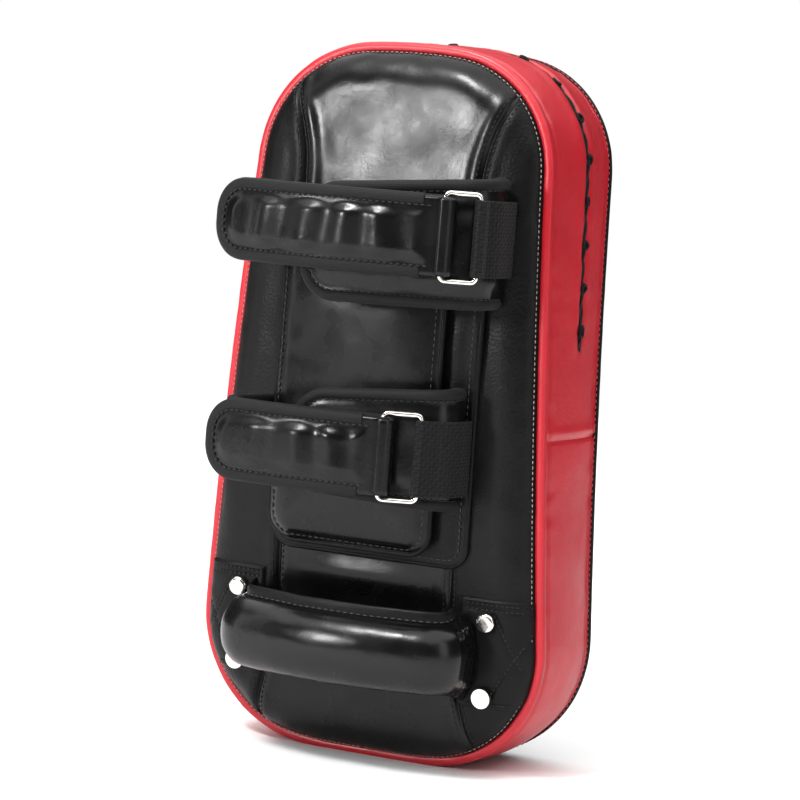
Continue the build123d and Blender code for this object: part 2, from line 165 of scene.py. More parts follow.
def round_profile(width, height, count=12, power=2.0):
    """A rounded loop: an ellipse at power 2, squarer above it."""
    angle = np.linspace(0, 2 * np.pi, count, endpoint=False)
    x = np.sign(np.cos(angle)) * np.abs(np.cos(angle)) ** (2 / power) * width / 2
    y = np.sign(np.sin(angle)) * np.abs(np.sin(angle)) ** (2 / power) * height / 2
    return np.column_stack([x, y])


def joined(name, pieces):
    """One object from several."""
    bpy.ops.object.select_all(action="DESELECT")
    for piece in pieces:
        piece.select_set(True)
    bpy.context.view_layer.objects.active = pieces[0]
    bpy.ops.object.join()
    pieces[0].name = name
    pieces[0].data.name = name
    return pieces[0]


def stitch_row(points, normals, pitch=3.2, length=2.2, radius=0.38, lift=0.1):
    """Vertices and faces of a row of thread stitches that lie along a line on a surface."""
    along = arc_lengths(points)
    count = int(along[-1] / pitch)
    at = (np.arange(count) + 0.5) * pitch
    spots = np.column_stack([np.interp(at, along, points[:, k]) for k in range(3)])
    heading = unit(
        np.column_stack([np.interp(at, along, tangents(points)[:, k]) for k in range(3)])
    )
    normal = unit(np.column_stack([np.interp(at, along, normals[:, k]) for k in range(3)]))
    side = np.cross(heading, normal)
    rings = [
        (-0.5, 0.35, -0.5), (-0.3, 0.9, 0.2), (0.0, 1.0, 0.5), (0.3, 0.9, 0.2), (0.5, 0.35, -0.5)
    ]
    verts, faces = [], []
    for k in range(count):
        base = len(verts)
        for share, swell, rise in rings:
            centre = spots[k] + heading[k] * share * length + normal[k] * (lift + rise * radius)
            for turn in range(6):
                angle = turn * math.pi / 3
                offset = side[k] * math.cos(angle) + normal[k] * math.sin(angle)
                verts.append(centre + offset * radius * swell)
        faces += grid_faces(len(rings), 6, wrap_columns=True, offset=base)
        faces.append(tuple(base + t for t in range(6))[::-1])
        faces.append(tuple(base + 24 + t for t in range(6)))
    return verts, faces


def stitching(name, rows, **options):
    """One piece from several rows of stitches, each a pair of points and normals."""
    verts, faces = [], []
    for points, normals in rows:
        row_verts, row_faces = stitch_row(points, normals, **options)
        faces += [tuple(index + len(verts) for index in face) for face in row_faces]
        verts += row_verts
    uvs = np.asarray(verts)[:, [0, 2]] * MM
    return mesh_object(name, verts, faces, uvs)


def value_noise(points, size, seed):
    """Smooth noise from -1 to 1 at points, with features of about size."""
    lattice = np.random.default_rng(seed).uniform(-1, 1, (32, 32, 32))
    grid = np.asarray(points, float) / size
    low = np.floor(grid).astype(int)
    part = grid - low
    part = part * part * (3 - 2 * part)
    total = 0
    for dx in (0, 1):
        for dy in (0, 1):
            for dz in (0, 1):
                weight = (
                    (part[..., 0] if dx else 1 - part[..., 0])
                    * (part[..., 1] if dy else 1 - part[..., 1])
                    * (part[..., 2] if dz else 1 - part[..., 2])
                )
                cell = lattice[
                    (low[..., 0] + dx) % 32, (low[..., 1] + dy) % 32, (low[..., 2] + dz) % 32
                ]
                total = total + weight * cell
    return total


# ---------------------------------------------------------------------------
# Materials
# ---------------------------------------------------------------------------
def new_material(name):
    material = bpy.data.materials.new(name)
    material.use_nodes = True
    nodes = material.node_tree.nodes
    nodes.clear()
    output = nodes.new("ShaderNodeOutputMaterial")
    shader = nodes.new("ShaderNodeBsdfPrincipled")
    material.node_tree.links.new(shader.outputs["BSDF"], output.inputs["Surface"])
    return material, nodes, material.node_tree.links, shader


def texture_coordinates(nodes, links, kind="Object", scale=(1, 1, 1)):
    coordinates = nodes.new("ShaderNodeTexCoord")
    mapping = nodes.new("ShaderNodeMapping")
    mapping.inputs["Scale"].default_value = scale
    links.new(coordinates.outputs[kind], mapping.inputs["Vector"])
    return mapping.outputs["Vector"]


def noise(nodes, links, vector, scale, detail=4, roughness=0.55):
    node = nodes.new("ShaderNodeTexNoise")
    node.inputs["Scale"].default_value = scale
    node.inputs["Detail"].default_value = detail
    node.inputs["Roughness"].default_value = roughness
    links.new(vector, node.inputs["Vector"])
    return node.outputs["Fac"]


def ramp(nodes, links, factor, low, high, start=0.35, end=0.65):
    node = nodes.new("ShaderNodeValToRGB")
    node.color_ramp.elements[0].position = start
    node.color_ramp.elements[1].position = end
    node.color_ramp.elements[0].color = low
    node.color_ramp.elements[1].color = high
    links.new(factor, node.inputs["Fac"])
    return node.outputs["Color"]


def math_node(nodes, links, operation, a, b):
    node = nodes.new("ShaderNodeMath")
    node.operation = operation
    for index, value in enumerate((a, b)):
        if isinstance(value, (int, float)):
            node.inputs[index].default_value = value
        else:
            links.new(value, node.inputs[index])
    return node.outputs[0]


def bump(nodes, links, height, distance, strength=1.0, below=None):
    node = nodes.new("ShaderNodeBump")
    node.inputs["Distance"].default_value = distance
    node.inputs["Strength"].default_value = strength
    links.new(height, node.inputs["Height"])
    if below is not None:
        links.new(below, node.inputs["Normal"])
    return node.outputs["Normal"]


def grey(value):
    return (value, value, value, 1)


def leather(
    name,
    colour,
    roughness,
    grain=1.2,
    depth=0.12,
    crease=0.25,
    coat=0.3,
    spread=0.12,
    specular=0.42,
):
    """Synthetic leather, with pebbles of size grain and folds of depth crease, both in mm."""
    material, nodes, links, shader = new_material(name)
    vector = texture_coordinates(nodes, links)
    pebbles = nodes.new("ShaderNodeTexVoronoi")
    pebbles.feature = "F1"
    pebbles.inputs["Scale"].default_value = 1000 / grain
    links.new(vector, pebbles.inputs["Vector"])
    fine = bump(nodes, links, pebbles.outputs["Distance"], depth * MM, 0.8)
    wrinkles = noise(nodes, links, vector, 55, 5, 0.6)
    folded = bump(nodes, links, wrinkles, crease * MM * 4, 0.6, below=fine)
    pores = noise(nodes, links, vector, 420, 3)
    normal = bump(nodes, links, pores, depth * MM * 0.8, 0.5, below=folded)
    links.new(normal, shader.inputs["Normal"])
    tone = noise(nodes, links, vector, 14, 3)
    dark = tuple(c * (1 - spread) for c in colour) + (1,)
    light = tuple(min(1, c * (1 + spread)) for c in colour) + (1,)
    links.new(ramp(nodes, links, tone, dark, light), shader.inputs["Base Color"])
    sheen_patches = noise(nodes, links, vector, 38, 4)
    rough = ramp(nodes, links, sheen_patches, grey(roughness - 0.05), grey(roughness + 0.08))
    links.new(rough, shader.inputs["Roughness"])
    shader.inputs["Specular IOR Level"].default_value = specular
    shader.inputs["Coat Weight"].default_value = coat
    shader.inputs["Coat Roughness"].default_value = 0.28
    return material


def tape(name, colour, rib=1.1, roughness=0.75, depth=0.25, sheen=0.2):
    """Woven tape, patterned by its UVs in metres: ribs across its run with a twill between them."""
    material, nodes, links, shader = new_material(name)
    vector = texture_coordinates(nodes, links, "UV")
    waves = []
    for direction, size in (("X", rib), ("Y", rib * 0.8), ("DIAGONAL", rib * 0.9)):
        wave = nodes.new("ShaderNodeTexWave")
        wave.bands_direction = direction
        wave.wave_profile = "SIN"
        wave.inputs["Scale"].default_value = math.pi / 10 * 1000 / size
        wave.inputs["Distortion"].default_value = 0.6
        wave.inputs["Detail Scale"].default_value = 2.0
        links.new(vector, wave.inputs["Vector"])
        waves.append(wave.outputs["Fac"])
    weave = math_node(nodes, links, "MULTIPLY", waves[0], waves[1])
    weave = math_node(
        nodes, links, "ADD", weave, math_node(nodes, links, "MULTIPLY", waves[2], 0.5)
    )
    fuzz = noise(nodes, links, texture_coordinates(nodes, links), 900, 3)
    normal = bump(nodes, links, weave, depth * MM, 0.9)
    normal = bump(nodes, links, fuzz, 0.06 * MM, 0.6, below=normal)
    links.new(normal, shader.inputs["Normal"])
    dark = tuple(c * 0.45 for c in colour) + (1,)
    light = tuple(min(1, c * 1.5) for c in colour) + (1,)
    links.new(ramp(nodes, links, weave, dark, light, 0.2, 1.0), shader.inputs["Base Color"])
    shader.inputs["Roughness"].default_value = roughness
    shader.inputs["Sheen Weight"].default_value = sheen
    shader.inputs["Specular IOR Level"].default_value = 0.22
    shader.inputs["Sheen Roughness"].default_value = 0.5
    return material


def thread(name, colour):
    material, nodes, links, shader = new_material(name)
    vector = texture_coordinates(nodes, links)
    twist = noise(nodes, links, vector, 1600, 2)
    links.new(bump(nodes, links, twist, 0.08 * MM, 0.8), shader.inputs["Normal"])
    dark = tuple(c * 0.7 for c in colour) + (1,)
    light = tuple(min(1, c * 1.3) for c in colour) + (1,)
    links.new(ramp(nodes, links, twist, dark, light), shader.inputs["Base Color"])
    shader.inputs["Roughness"].default_value = 0.5
    return material


def plated(name, colour, roughness=0.16):
    material, nodes, links, shader = new_material(name)
    vector = texture_coordinates(nodes, links)
    scuffs = noise(nodes, links, vector, 300, 5)
    rough = ramp(nodes, links, scuffs, grey(roughness * 0.7), grey(roughness * 1.6))
    links.new(rough, shader.inputs["Roughness"])
    tone = noise(nodes, links, vector, 60, 3)
    dark = tuple(c * 0.86 for c in colour) + (1,)
    links.new(ramp(nodes, links, tone, dark, tuple(colour) + (1,)), shader.inputs["Base Color"])
    links.new(bump(nodes, links, scuffs, 0.02 * MM, 0.5), shader.inputs["Normal"])
    shader.inputs["Metallic"].default_value = 1.0
    return material


MATERIALS = {
    "grained": leather(
        "grained_black", (0.0048, 0.0048, 0.0052), 0.40, 1.5, 0.16, 0.22, 0.04, specular=0.22
    ),
    "glossy": leather(
        "glossy_black", (0.0040, 0.0040, 0.0044), 0.27, 1.3, 0.025, 0.10, 0.12, specular=0.30
    ),
    "grip": leather(
        "grip_black", (0.0040, 0.0040, 0.0044), 0.23, 1.2, 0.03, 0.06, 0.20, specular=0.34
    ),
    "tongue": leather(
        "tongue_black", (0.0042, 0.0042, 0.0046), 0.26, 1.4, 0.04, 0.12, 0.12, specular=0.30
    ),
    "strike": leather(
        "strike_black", (0.0050, 0.0050, 0.0054), 0.38, 1.4, 0.12, 0.2, 0.06, specular=0.26
    ),
    "red": leather("red_leather", (0.41, 0.0125, 0.0235), 0.42, 1.3, 0.06, 0.25, 0.25, 0.08),
    "band": leather(
        "band_black", (0.0056, 0.0056, 0.0060), 0.46, 1.4, 0.14, 0.2, 0.03, specular=0.20
    ),
    "binding": tape("binding_tape", (0.0115, 0.0115, 0.0125), 0.9, 0.60, depth=0.08, sheen=0.05),
    "webbing": tape("ribbed_webbing", (0.0085, 0.0085, 0.0090), 2.4, 0.66, depth=0.35, sheen=0.05),
    "lace": tape("lace_braid", (0.0070, 0.0070, 0.0075), 1.2, 0.65, depth=0.3, sheen=0.05),
    "hook": tape("hook_tape", (0.0080, 0.0080, 0.0085), 1.6, 0.6, depth=0.5, sheen=0.05),
    "loop": tape("loop_tape", (0.012, 0.012, 0.012), 1.0, 0.9, depth=0.3, sheen=0.3),
    "thread": thread("black_thread", (0.009, 0.009, 0.010)),
    "grey_thread": thread("grey_thread", (0.055, 0.055, 0.058)),
    "pale_thread": thread("pale_thread", (0.26, 0.24, 0.21)),
    "red_thread": thread("red_thread", (0.50, 0.05, 0.06)),
    "nickel": plated("nickel_plate", (0.80, 0.77, 0.72)),
    "foam": leather("closed_cell_foam", (0.22, 0.22, 0.23), 0.9, 1.0, 0.2, 0.1, 0.0),
}


def dress(piece, material, body="root"):
    """Give a piece its material and its body."""
    piece.data.materials.clear()
    piece.data.materials.append(MATERIALS[material])
    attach(piece, body)
    return piece


# ---------------------------------------------------------------------------
# The outline, read from the CAD gusset, as a closed ring of points in X and Z
# ---------------------------------------------------------------------------
def node_points(node):
    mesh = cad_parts[node].data
    points = np.zeros(len(mesh.vertices) * 3)
    mesh.vertices.foreach_get("co", points)
    return points.reshape(-1, 3) / MM


def convex_ring(points):
    """The convex hull of 2-D points, counter-clockwise."""
    points = sorted(set(map(tuple, np.round(points, 4))))

    def chain(ordered):
        kept = []
        for point in ordered:
            while len(kept) > 1:
                (ax, ay), (bx, by) = kept[-2], kept[-1]
                if (bx - ax) * (point[1] - ay) - (by - ay) * (point[0] - ax) > 1e-9:
                    break
                kept.pop()
            kept.append(point)
        return kept[:-1]

    return np.array(chain(points) + chain(points[::-1]))


def pad_outline(half_count=361):
    """The right half of the outline from the bottom centre to the top centre, evenly spaced."""
    points = np.vstack([node_points("gusset_lower"), node_points("gusset_upper")])
    ring = convex_ring(points[:, [0, 2]])
    right = ring[ring[:, 0] > 0.5]
    right = right[np.argsort(np.arctan2(right[:, 1] - PAD_LENGTH / 2, right[:, 0]))]
    half = np.vstack([[0, 0], right, [0, PAD_LENGTH]])
    half = resample(half, 4 * half_count)
    full = np.vstack([half * [-1, 1], half[::-1]])[:: -1]
    kernel = np.exp(-np.linspace(-2, 2, 41) ** 2)
    kernel /= kernel.sum()
    padded = np.vstack([full[-20:], full, full[:20]])
    eased = np.column_stack([np.convolve(padded[:, k], kernel, mode="valid") for k in range(2)])
    half = eased[: len(half)]
    half[0] = (0, half[0, 1])
    half[-1] = (0, half[-1, 1])
    return resample(half, half_count)


HALF = pad_outline()
RING = np.vstack([HALF, (HALF * [-1, 1])[::-1][1:-1]])
RING_TANGENT = tangents(RING, closed=True)
RING_OUT = np.column_stack([RING_TANGENT[:, 1], -RING_TANGENT[:, 0]])


def edge_distance(x, z):
    """Distance in from the outline, for arrays of any shape."""
    spots = np.column_stack([np.ravel(x), np.ravel(z)])
    start = RING
    run = np.roll(RING, -1, axis=0) - RING
    size = np.sum(run ** 2, axis=1)
    result = np.empty(len(spots))
    for low in range(0, len(spots), 2000):
        part = spots[low:low + 2000, None] - start[None]
        share = np.clip(np.sum(part * run, axis=2) / size, 0, 1)
        gap = part - share[..., None] * run
        result[low:low + 2000] = np.sqrt(np.min(np.sum(gap ** 2, axis=2), axis=1))
    return result.reshape(np.shape(x))


ROLL = 3.6


def crown(distance, height, shoulder=20, dome=60):
    """Pillow profile: steep by the rolled edge, then a slow dome."""
    distance = distance - ROLL
    steep = np.sqrt(np.clip(1 - (1 - np.clip(distance / shoulder, 0, 1)) ** 2, 0, 1))
    slow = np.sqrt(np.clip(1 - (1 - np.clip(distance / dome, 0, 1)) ** 2, 0, 1))
    return height * (0.86 * steep + 0.14 * slow)


def arm_rise(x, z):
    """How far the arm side stands out from its edge seam at a point, folds and seams included."""
    x, z = np.asarray(x, float), np.asarray(z, float)
    distance = edge_distance(x, z)
    rise = crown(distance, ARM_CROWN)
    inside = smooth((distance - 3) / 12)
    spots = np.stack([x, z * 0.8, 0 * x], axis=-1)
    rise = rise + 0.75 * inside * value_noise(spots, 34, 3) + 0.3 * inside * value_noise(
        spots, 12, 4
    )
    seam_gap = np.abs(x) - hourglass(z)
    fade = smooth(distance / 8)
    groove = -1.5 * np.exp(-(seam_gap / 1.3) ** 2) + 0.9 * np.exp(
        -((np.abs(seam_gap) - 5.5) / 3.6) ** 2
    )
    rise = rise + fade * groove
    edge_gathers = np.exp(-((distance - 6) / 5) ** 2)
    ring_spots = np.stack([x, z, 0 * x + 9], axis=-1)
    rise = rise + 0.55 * edge_gathers * value_noise(ring_spots, 9, 5)
    creases = np.exp(-((np.abs(x) - 66) / 16) ** 2) * smooth((z - 105) / 40) * smooth(
        (330 - z) / 60
    )
    slant = np.stack([x * 0.25, z + 0.5 * np.abs(x), 0 * x + 5], axis=-1)
    bulge = np.exp(-((z - 104) / 9) ** 2) * np.exp(-(x / 42) ** 4)
    return rise + 0.8 * creases * value_noise(slant, 13, 6) + 2.2 * bulge


def arm_point(x, z, lift=0.0):
    """Points on the arm side, lifted off it by lift."""
    x, z = np.broadcast_arrays(np.asarray(x, float), np.asarray(z, float))
    return np.stack([x, arm_seam(z) - arm_rise(x, z) - lift, z], axis=-1)


def panel_rows(count, left, right):
    """Curved rows up the pad: each row's edge point, middle height and share along its length."""
    t = np.linspace(0, 1, count)
    share = t - 0.93 * np.sin(2 * np.pi * t) / (2 * np.pi)
    share = share[(share >= left) & (share <= right)]
    along = arc_lengths(HALF)
    edge = np.column_stack([np.interp(share * along[-1], along, HALF[:, k]) for k in range(2)])
    middle = HALF[0, 1] + (HALF[-1, 1] - HALF[0, 1]) * share
    return edge, middle


def seam_share(edge, middle):
    """Share of each row where it meets the hourglass seam; 1 where it never does."""
    q = np.linspace(0, 1, 400)
    x = q[None] * edge[:, 0:1]
    z = middle[:, None] + (edge[:, 1:2] - middle[:, None]) * q[None] ** 2
    outside = x > hourglass(z)
    first = np.where(outside.any(axis=1), outside.argmax(axis=1), 399)
    return q[first]


def panel_mesh(name, edge, middle, shares, mirror=False):
    """A panel of the arm side on curved rows. shares gives each row's places across."""
    x = shares * edge[:, 0:1] * (-1 if mirror else 1)
    z = middle[:, None] + (edge[:, 1:2] - middle[:, None]) * shares ** 2
    verts = arm_point(x, z)
    faces = grid_faces(*x.shape, flip=mirror)
    uvs = np.stack([x, z], axis=-1) * MM
    return mesh_object(name, verts.reshape(-1, 3), faces, uvs.reshape(-1, 2))


def build_arm_panels():
    edge, middle = panel_rows(230, 0.0008, 0.9992)
    meet = seam_share(edge, middle)
    across = np.sin(np.linspace(-1, 1, 91) * np.pi / 2)
    centre = panel_mesh("arm_centre_panel", edge, middle, across[None] * meet[:, None])
    dress(centre, "glossy")
    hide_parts("centre_panel", "arm_side_foam")
    rows = np.flatnonzero(meet < 0.985)
    rows = np.arange(rows[0], rows[-1] + 1)
    side = (1 - np.cos(np.linspace(0, 1, 61) * np.pi)) / 2
    start = meet[rows][:, None]
    shares = start + (1 - start) * side[None]
    for tag, mirror in (("right", False), ("left", True)):
        panel = panel_mesh("arm_side_panel_" + tag, edge[rows], middle[rows], shares, mirror)
        dress(panel, "grained")
        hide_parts("side_panel_" + tag)


def build_seam_stitches():
    """Two rows of topstitching along each side of the hourglass panel."""
    rows = []
    for sign in (1, -1):
        for beside in (3.2, -3.0):
            z = np.linspace(4, 398, 400)
            x = sign * (hourglass(z) + beside)
            keep = edge_distance(x, z) > 3
            inside = np.abs(x) < np.interp(z, HALF[:, 1], HALF[:, 0])
            z, x = z[keep & inside], x[keep & inside]
            points = arm_point(x, z)
            rows.append((points, np.tile([0.0, -1.0, 0.0], (len(points), 1))))
    stitches = stitching("seam_topstitching", rows, pitch=3.4, length=2.4, radius=0.36)
    dress(stitches, "thread")


def build_strike_face():
    edge, middle = panel_rows(180, 0.0008, 0.9992)
    across = np.sin(np.linspace(-1, 1, 121) * np.pi / 2)
    x = across[None] * edge[:, 0:1]
    z = middle[:, None] + (edge[:, 1:2] - middle[:, None]) * across[None] ** 2
    distance = edge_distance(x, z)
    rise = crown(distance + ROLL, STRIKE_CROWN, 18, 70)
    spots = np.stack([x, z, 0 * x + 40], axis=-1)
    rise = rise + 0.5 * smooth(distance / 14) * value_noise(spots, 45, 12)
    rise = rise + 0.5 * np.exp(-((distance - 6) / 5) ** 2) * value_noise(spots, 9, 13)
    verts = np.stack([x, strike_seam(z) + rise, z], axis=-1)
    faces = grid_faces(*x.shape, flip=True)
    uvs = np.stack([x, z], axis=-1) * MM
    cover = mesh_object("strike_cover", verts.reshape(-1, 3), faces, uvs.reshape(-1, 2))
    dress(cover, "strike")
    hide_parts("strike_face_cover")


# ---------------------------------------------------------------------------
# Gusset, its rolled red edge, the piping and the lacing
# ---------------------------------------------------------------------------
def build_gusset():
    count = len(RING)
    columns = 49
    share = (1 - np.cos(np.linspace(0, 1, columns) * np.pi)) / 2 * 0.5 + np.linspace(
        0, 1, columns
    ) * 0.5
    x, z = RING[:, 0:1], RING[:, 1:2]
    width = strike_seam(z) - arm_seam(z)
    y = arm_seam(z) + share[None] * width
    bulge = 2.4 * (1 - (2 * share[None] - 1) ** 2) - 0.4
    run = np.concatenate([[0], np.cumsum(np.linalg.norm(np.diff(RING, axis=0), axis=1))])[:, None]
    spots = np.stack(np.broadcast_arrays(x, y, z), axis=-1)
    bulge = bulge + 0.5 * value_noise(spots * [1, 0.6, 1], 30, 21)
    gap = y - lace_line(z)
    laced = smooth((z - LACE_END + 8) / 16)
    bulge = bulge + laced * (
        -2.6 * np.exp(-(gap / 1.9) ** 2) + 0.7 * np.exp(-((np.abs(gap) - 7) / 5) ** 2)
    )
    ripple = value_noise(np.stack(np.broadcast_arrays(run, 0 * y, 0 * run + 3), axis=-1), 9, 22)
    bulge = bulge + laced * 0.55 * ripple * np.exp(-(np.abs(gap) / 14) ** 2)
    seam = np.exp(-((z - CROSS_SEAM) / 1.1) ** 2) - 0.5 * np.exp(-((z - CROSS_SEAM - 4) / 2.5) ** 2)
    bulge = bulge - 1.1 * seam
    edge_roll = np.minimum(share[None], 1 - share[None]) * width
    bulge = bulge - 0.9 * np.exp(-((edge_roll - 5.5) / 1.2) ** 2)
    gathers = value_noise(np.stack(np.broadcast_arrays(run, y * 0.15, 0 * run), axis=-1), 7, 23)
    bulge = bulge + 0.45 * gathers * np.exp(-((edge_roll - 6) / 6) ** 2)
    verts = np.stack(np.broadcast_arrays(
        x + RING_OUT[:, 0:1] * bulge, y, z + RING_OUT[:, 1:2] * bulge), axis=-1)
    lowest = verts[..., 2].min()
    verts[..., 2] = np.where(
        verts[..., 2] < 0, verts[..., 2] * min(1, 0.3 / max(0.3, -lowest)), verts[..., 2]
    )
    uvs = np.stack(np.broadcast_arrays(run, y), axis=-1) * MM
    middle = 0.5 * (RING[:, 1] + np.roll(RING[:, 1], -1))
    for name, node, low, high in (
        ("gusset_lower_skin", "gusset_lower", -50, CROSS_SEAM),
        ("gusset_upper_skin", "gusset_upper", CROSS_SEAM, 900),
    ):
        faces = []
        for i in range(count):
            if low <= middle[i] < high:
                following = (i + 1) % count
                for j in range(columns - 1):
                    a, b = i * columns + j, following * columns + j
                    faces.append((a, a + 1, b + 1, b))
        used = sorted({index for face in faces for index in face})
        place = {index: k for k, index in enumerate(used)}
        faces = [tuple(place[index] for index in face) for face in faces]
        skin = mesh_object(name, verts.reshape(-1, 3)[used], faces, uvs.reshape(-1, 2)[used])
        dress(skin, "red")
        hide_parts(node)


def rim_tube(name, seam, inset, width, height, lift, material, seed):
    """A rolled edge that follows the outline at one seam."""
    points = np.column_stack([
        RING[:, 0] - RING_OUT[:, 0] * inset,
        seam(RING[:, 1]) + lift,
        RING[:, 1] - RING_OUT[:, 1] * inset,
    ])
    side = np.column_stack([RING_OUT[:, 0], 0 * RING_OUT[:, 0], RING_OUT[:, 1]])
    base = round_profile(width, height, 14, 2.4)
    wobble = 1 + 0.05 * value_noise(points, 8, seed)
    profile = base[None] * wobble[:, None, None]
    tube = sweep(name, points, side, profile, closed=True)
    return dress(tube, material)


def build_rims():
    red = rim_tube("arm_edge_roll", arm_seam, 1.7, 6.0, 5.4, -0.2, "red", 31)
    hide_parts("piping_arm_side")
    dark = rim_tube(
        "strike_edge_piping", strike_seam, 0.6, 3.2, 3.4, 0.4, "band", 32
    )
    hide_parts("piping_strike_side")
    inner = np.column_stack([
        RING[:, 0] - RING_OUT[:, 0] * 4.9,
        arm_seam(RING[:, 1]) - crown(np.full(len(RING), 4.9), ARM_CROWN),
        RING[:, 1] - RING_OUT[:, 1] * 4.9,
    ])
    closed = np.vstack([inner, inner[:1]])
    out = np.column_stack([RING_OUT[:, 0], 0 * RING_OUT[:, 0] - 1.2, RING_OUT[:, 1]])
    out = np.vstack([out, out[:1]])
    far = np.column_stack([
        RING[:, 0] + RING_OUT[:, 0] * 0.7, strike_seam(RING[:, 1]) - 4.2, RING[:, 1] + RING_OUT[:, 1] * 0.7])
    far = np.vstack([far, far[:1]])
    far_out = np.column_stack([RING_OUT[:, 0], 0 * RING_OUT[:, 0], RING_OUT[:, 1]])
    far_out = np.vstack([far_out, far_out[:1]])
    stitches = stitching(
        "edge_stitching", [(closed, out)], pitch=3.0, length=1.9, radius=0.32, lift=0.5
    )
    dress(stitches, "pale_thread")
    stitches = stitching(
        "gusset_edge_stitching", [(far, far_out)], pitch=3.4, length=2.2, radius=0.3, lift=0.3
    )
    dress(stitches, "red_thread")


def lace_route():
    """The lace's middle line over the top of the pad, with the outward direction at each point."""
    keep = np.flatnonzero(HALF[:, 1] > LACE_END)
    right = HALF[keep]
    route = np.vstack([right, (right * [-1, 1])[::-1][1:]])
    route = resample(route, step=0.8)
    along = tangents(route)
    out = np.column_stack([along[:, 1], -along[:, 0]])
    points = np.column_stack([route[:, 0], lace_line(route[:, 1]), route[:, 1]])
    return points, np.column_stack([out[:, 0], 0 * out[:, 0], out[:, 1]])


def lace_strand(name, points, out, width=3.0, height=2.0):
    strand = sweep(
        name, points, np.cross(tangents(points), out), round_profile(width, height, 10, 2.2)
    )
    return dress(strand, "lace")


def build_lacing():
    points, out = lace_route()
    run = arc_lengths(points)
    wander = np.random.default_rng(17)
    for tag, phase, reach in (("a", 0.0, 1.5), ("b", math.pi, 1.5)):
        sway = reach * np.sin(run / 24 * 2 * math.pi + phase) + 0.5 * value_noise(
            points + 50 * (tag == "b"), 12, 41
        )
        strand = points + out * (0.9 + 0.35 * np.cos(run / 24 * 2 * math.pi + phase))[:, None]
        strand[:, 1] += sway
        piece = lace_strand("lace_cord_" + tag, strand, out)
        if tag == "a":
            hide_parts("lace_cord")
    knots = []
    spacing = 24.0
    total = run[-1]
    stops = [6.0 + spacing * k for k in range(8)]
    stops = stops + [total - stop for stop in stops] + [total / 2]
    for number, stop in enumerate(sorted(stops)):
        centre = np.array([np.interp(stop, run, points[:, k]) for k in range(3)])
        away = unit(np.array([np.interp(stop, run, out[:, k]) for k in range(3)]))
        heading = unit(np.cross(away, [0, 1, 0]))
        across = np.array([0.0, 1.0, 0.0])
        first_or_last = stop < 8 or total - stop < 8
        size = 1.25 if first_or_last else 1.0
        turn = np.linspace(0, 2.6 * 2 * math.pi, 46)
        swirl = (2.5 + 0.6 * np.sin(turn * 0.7 + number)) * size
        loop = (
            centre + away * (1.6 + 1.1 * np.sin(turn * 0.5 + number))[:, None]
            + across * (swirl * np.cos(turn))[:, None]
            + heading * (swirl * 0.9 * np.sin(turn) + 0.25 * turn / math.pi - 0.6)[:, None]
        )
        knots.append(sweep("knot", loop, np.tile(away, (len(loop), 1)), round_profile(2.3, 1.8, 8)))
        for sign in (1, -1):
            for lean in (0.7, -0.7):
                share = np.linspace(0, 1, 9)[:, None]
                reach = 5.6 + wander.uniform(-0.6, 0.8)
                leg = (
                    centre + across * sign * share * reach
                    + heading * lean * share * (3.2 + wander.uniform(-0.8, 0.8))
                    + away * (1.7 - 1.9 * share ** 2)
                )
                knots.append(sweep("leg", leg, np.tile(away, (9, 1)), round_profile(1.9, 1.5, 8)))
    ends = []
    for index, sign in ((0, 1), (len(points) - 1, -1)):
        centre, away = points[index], out[index]
        down = np.array([0.0, 0.0, -1.0])
        for side, length in ((1.2, 13.0), (-1.1, 9.0)):
            share = np.linspace(0, 1, 16)[:, None]
            tail = (
                centre + away * (1.4 - 0.5 * share) + down * share * length
                + np.array([0, side, 0]) * (0.6 + 1.3 * share)
            )
            taper = np.concatenate([np.ones(11), np.linspace(1, 0.35, 5)])
            ends.append(sweep("tail", tail, np.tile([0.0, 1.0, 0.0], (16, 1)),
                              round_profile(2.6, 1.3, 8)[None] * taper[:, None, None]))
    piece = joined("lace_knot_ties", knots + ends)
    dress(piece, "lace")
    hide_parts("lace_knots")


# ---------------------------------------------------------------------------
# Ribbons: straps, leaves, tongues, patches and the cushion, each a plan laid along a path
# ---------------------------------------------------------------------------
def rounded_plan(corners, step=0.8):
    """A closed outline, counter-clockwise, rounded at each corner (along, height, radius)."""
    points = []
    count = len(corners)
    for k in range(count):
        here = np.array(corners[k][:2], float)
        before = unit(np.array(corners[k - 1][:2], float) - here)
        after = unit(np.array(corners[(k + 1) % count][:2], float) - here)
        radius = corners[k][2]
        angle = math.acos(np.clip(before @ after, -1, 1))
        reach = radius / math.tan(angle / 2)
        share = np.linspace(0, 1, max(2, int(radius / step) + 2))[:, None]
        start, end = here + before * reach, here + after * reach
        centre = here + unit(before + after) * radius / math.sin(angle / 2)
        chord = start * (1 - share) + end * share
        points.append(centre + unit(chord - centre) * radius if radius > 0 else here[None])
    closed = np.vstack(points + [points[0][:1]])
    return resample(closed, step=step)[:-1]


def plan_distance(plan, a, h):
    spots = np.column_stack([np.ravel(a), np.ravel(h)])
    run = np.roll(plan, -1, axis=0) - plan
    size = np.maximum(np.sum(run ** 2, axis=1), 1e-9)
    part = spots[:, None] - plan[None]
    share = np.clip(np.sum(part * run, axis=2) / size, 0, 1)
    gap = part - share[..., None] * run
    return np.sqrt(np.min(np.sum(gap ** 2, axis=2), axis=1)).reshape(np.shape(a))


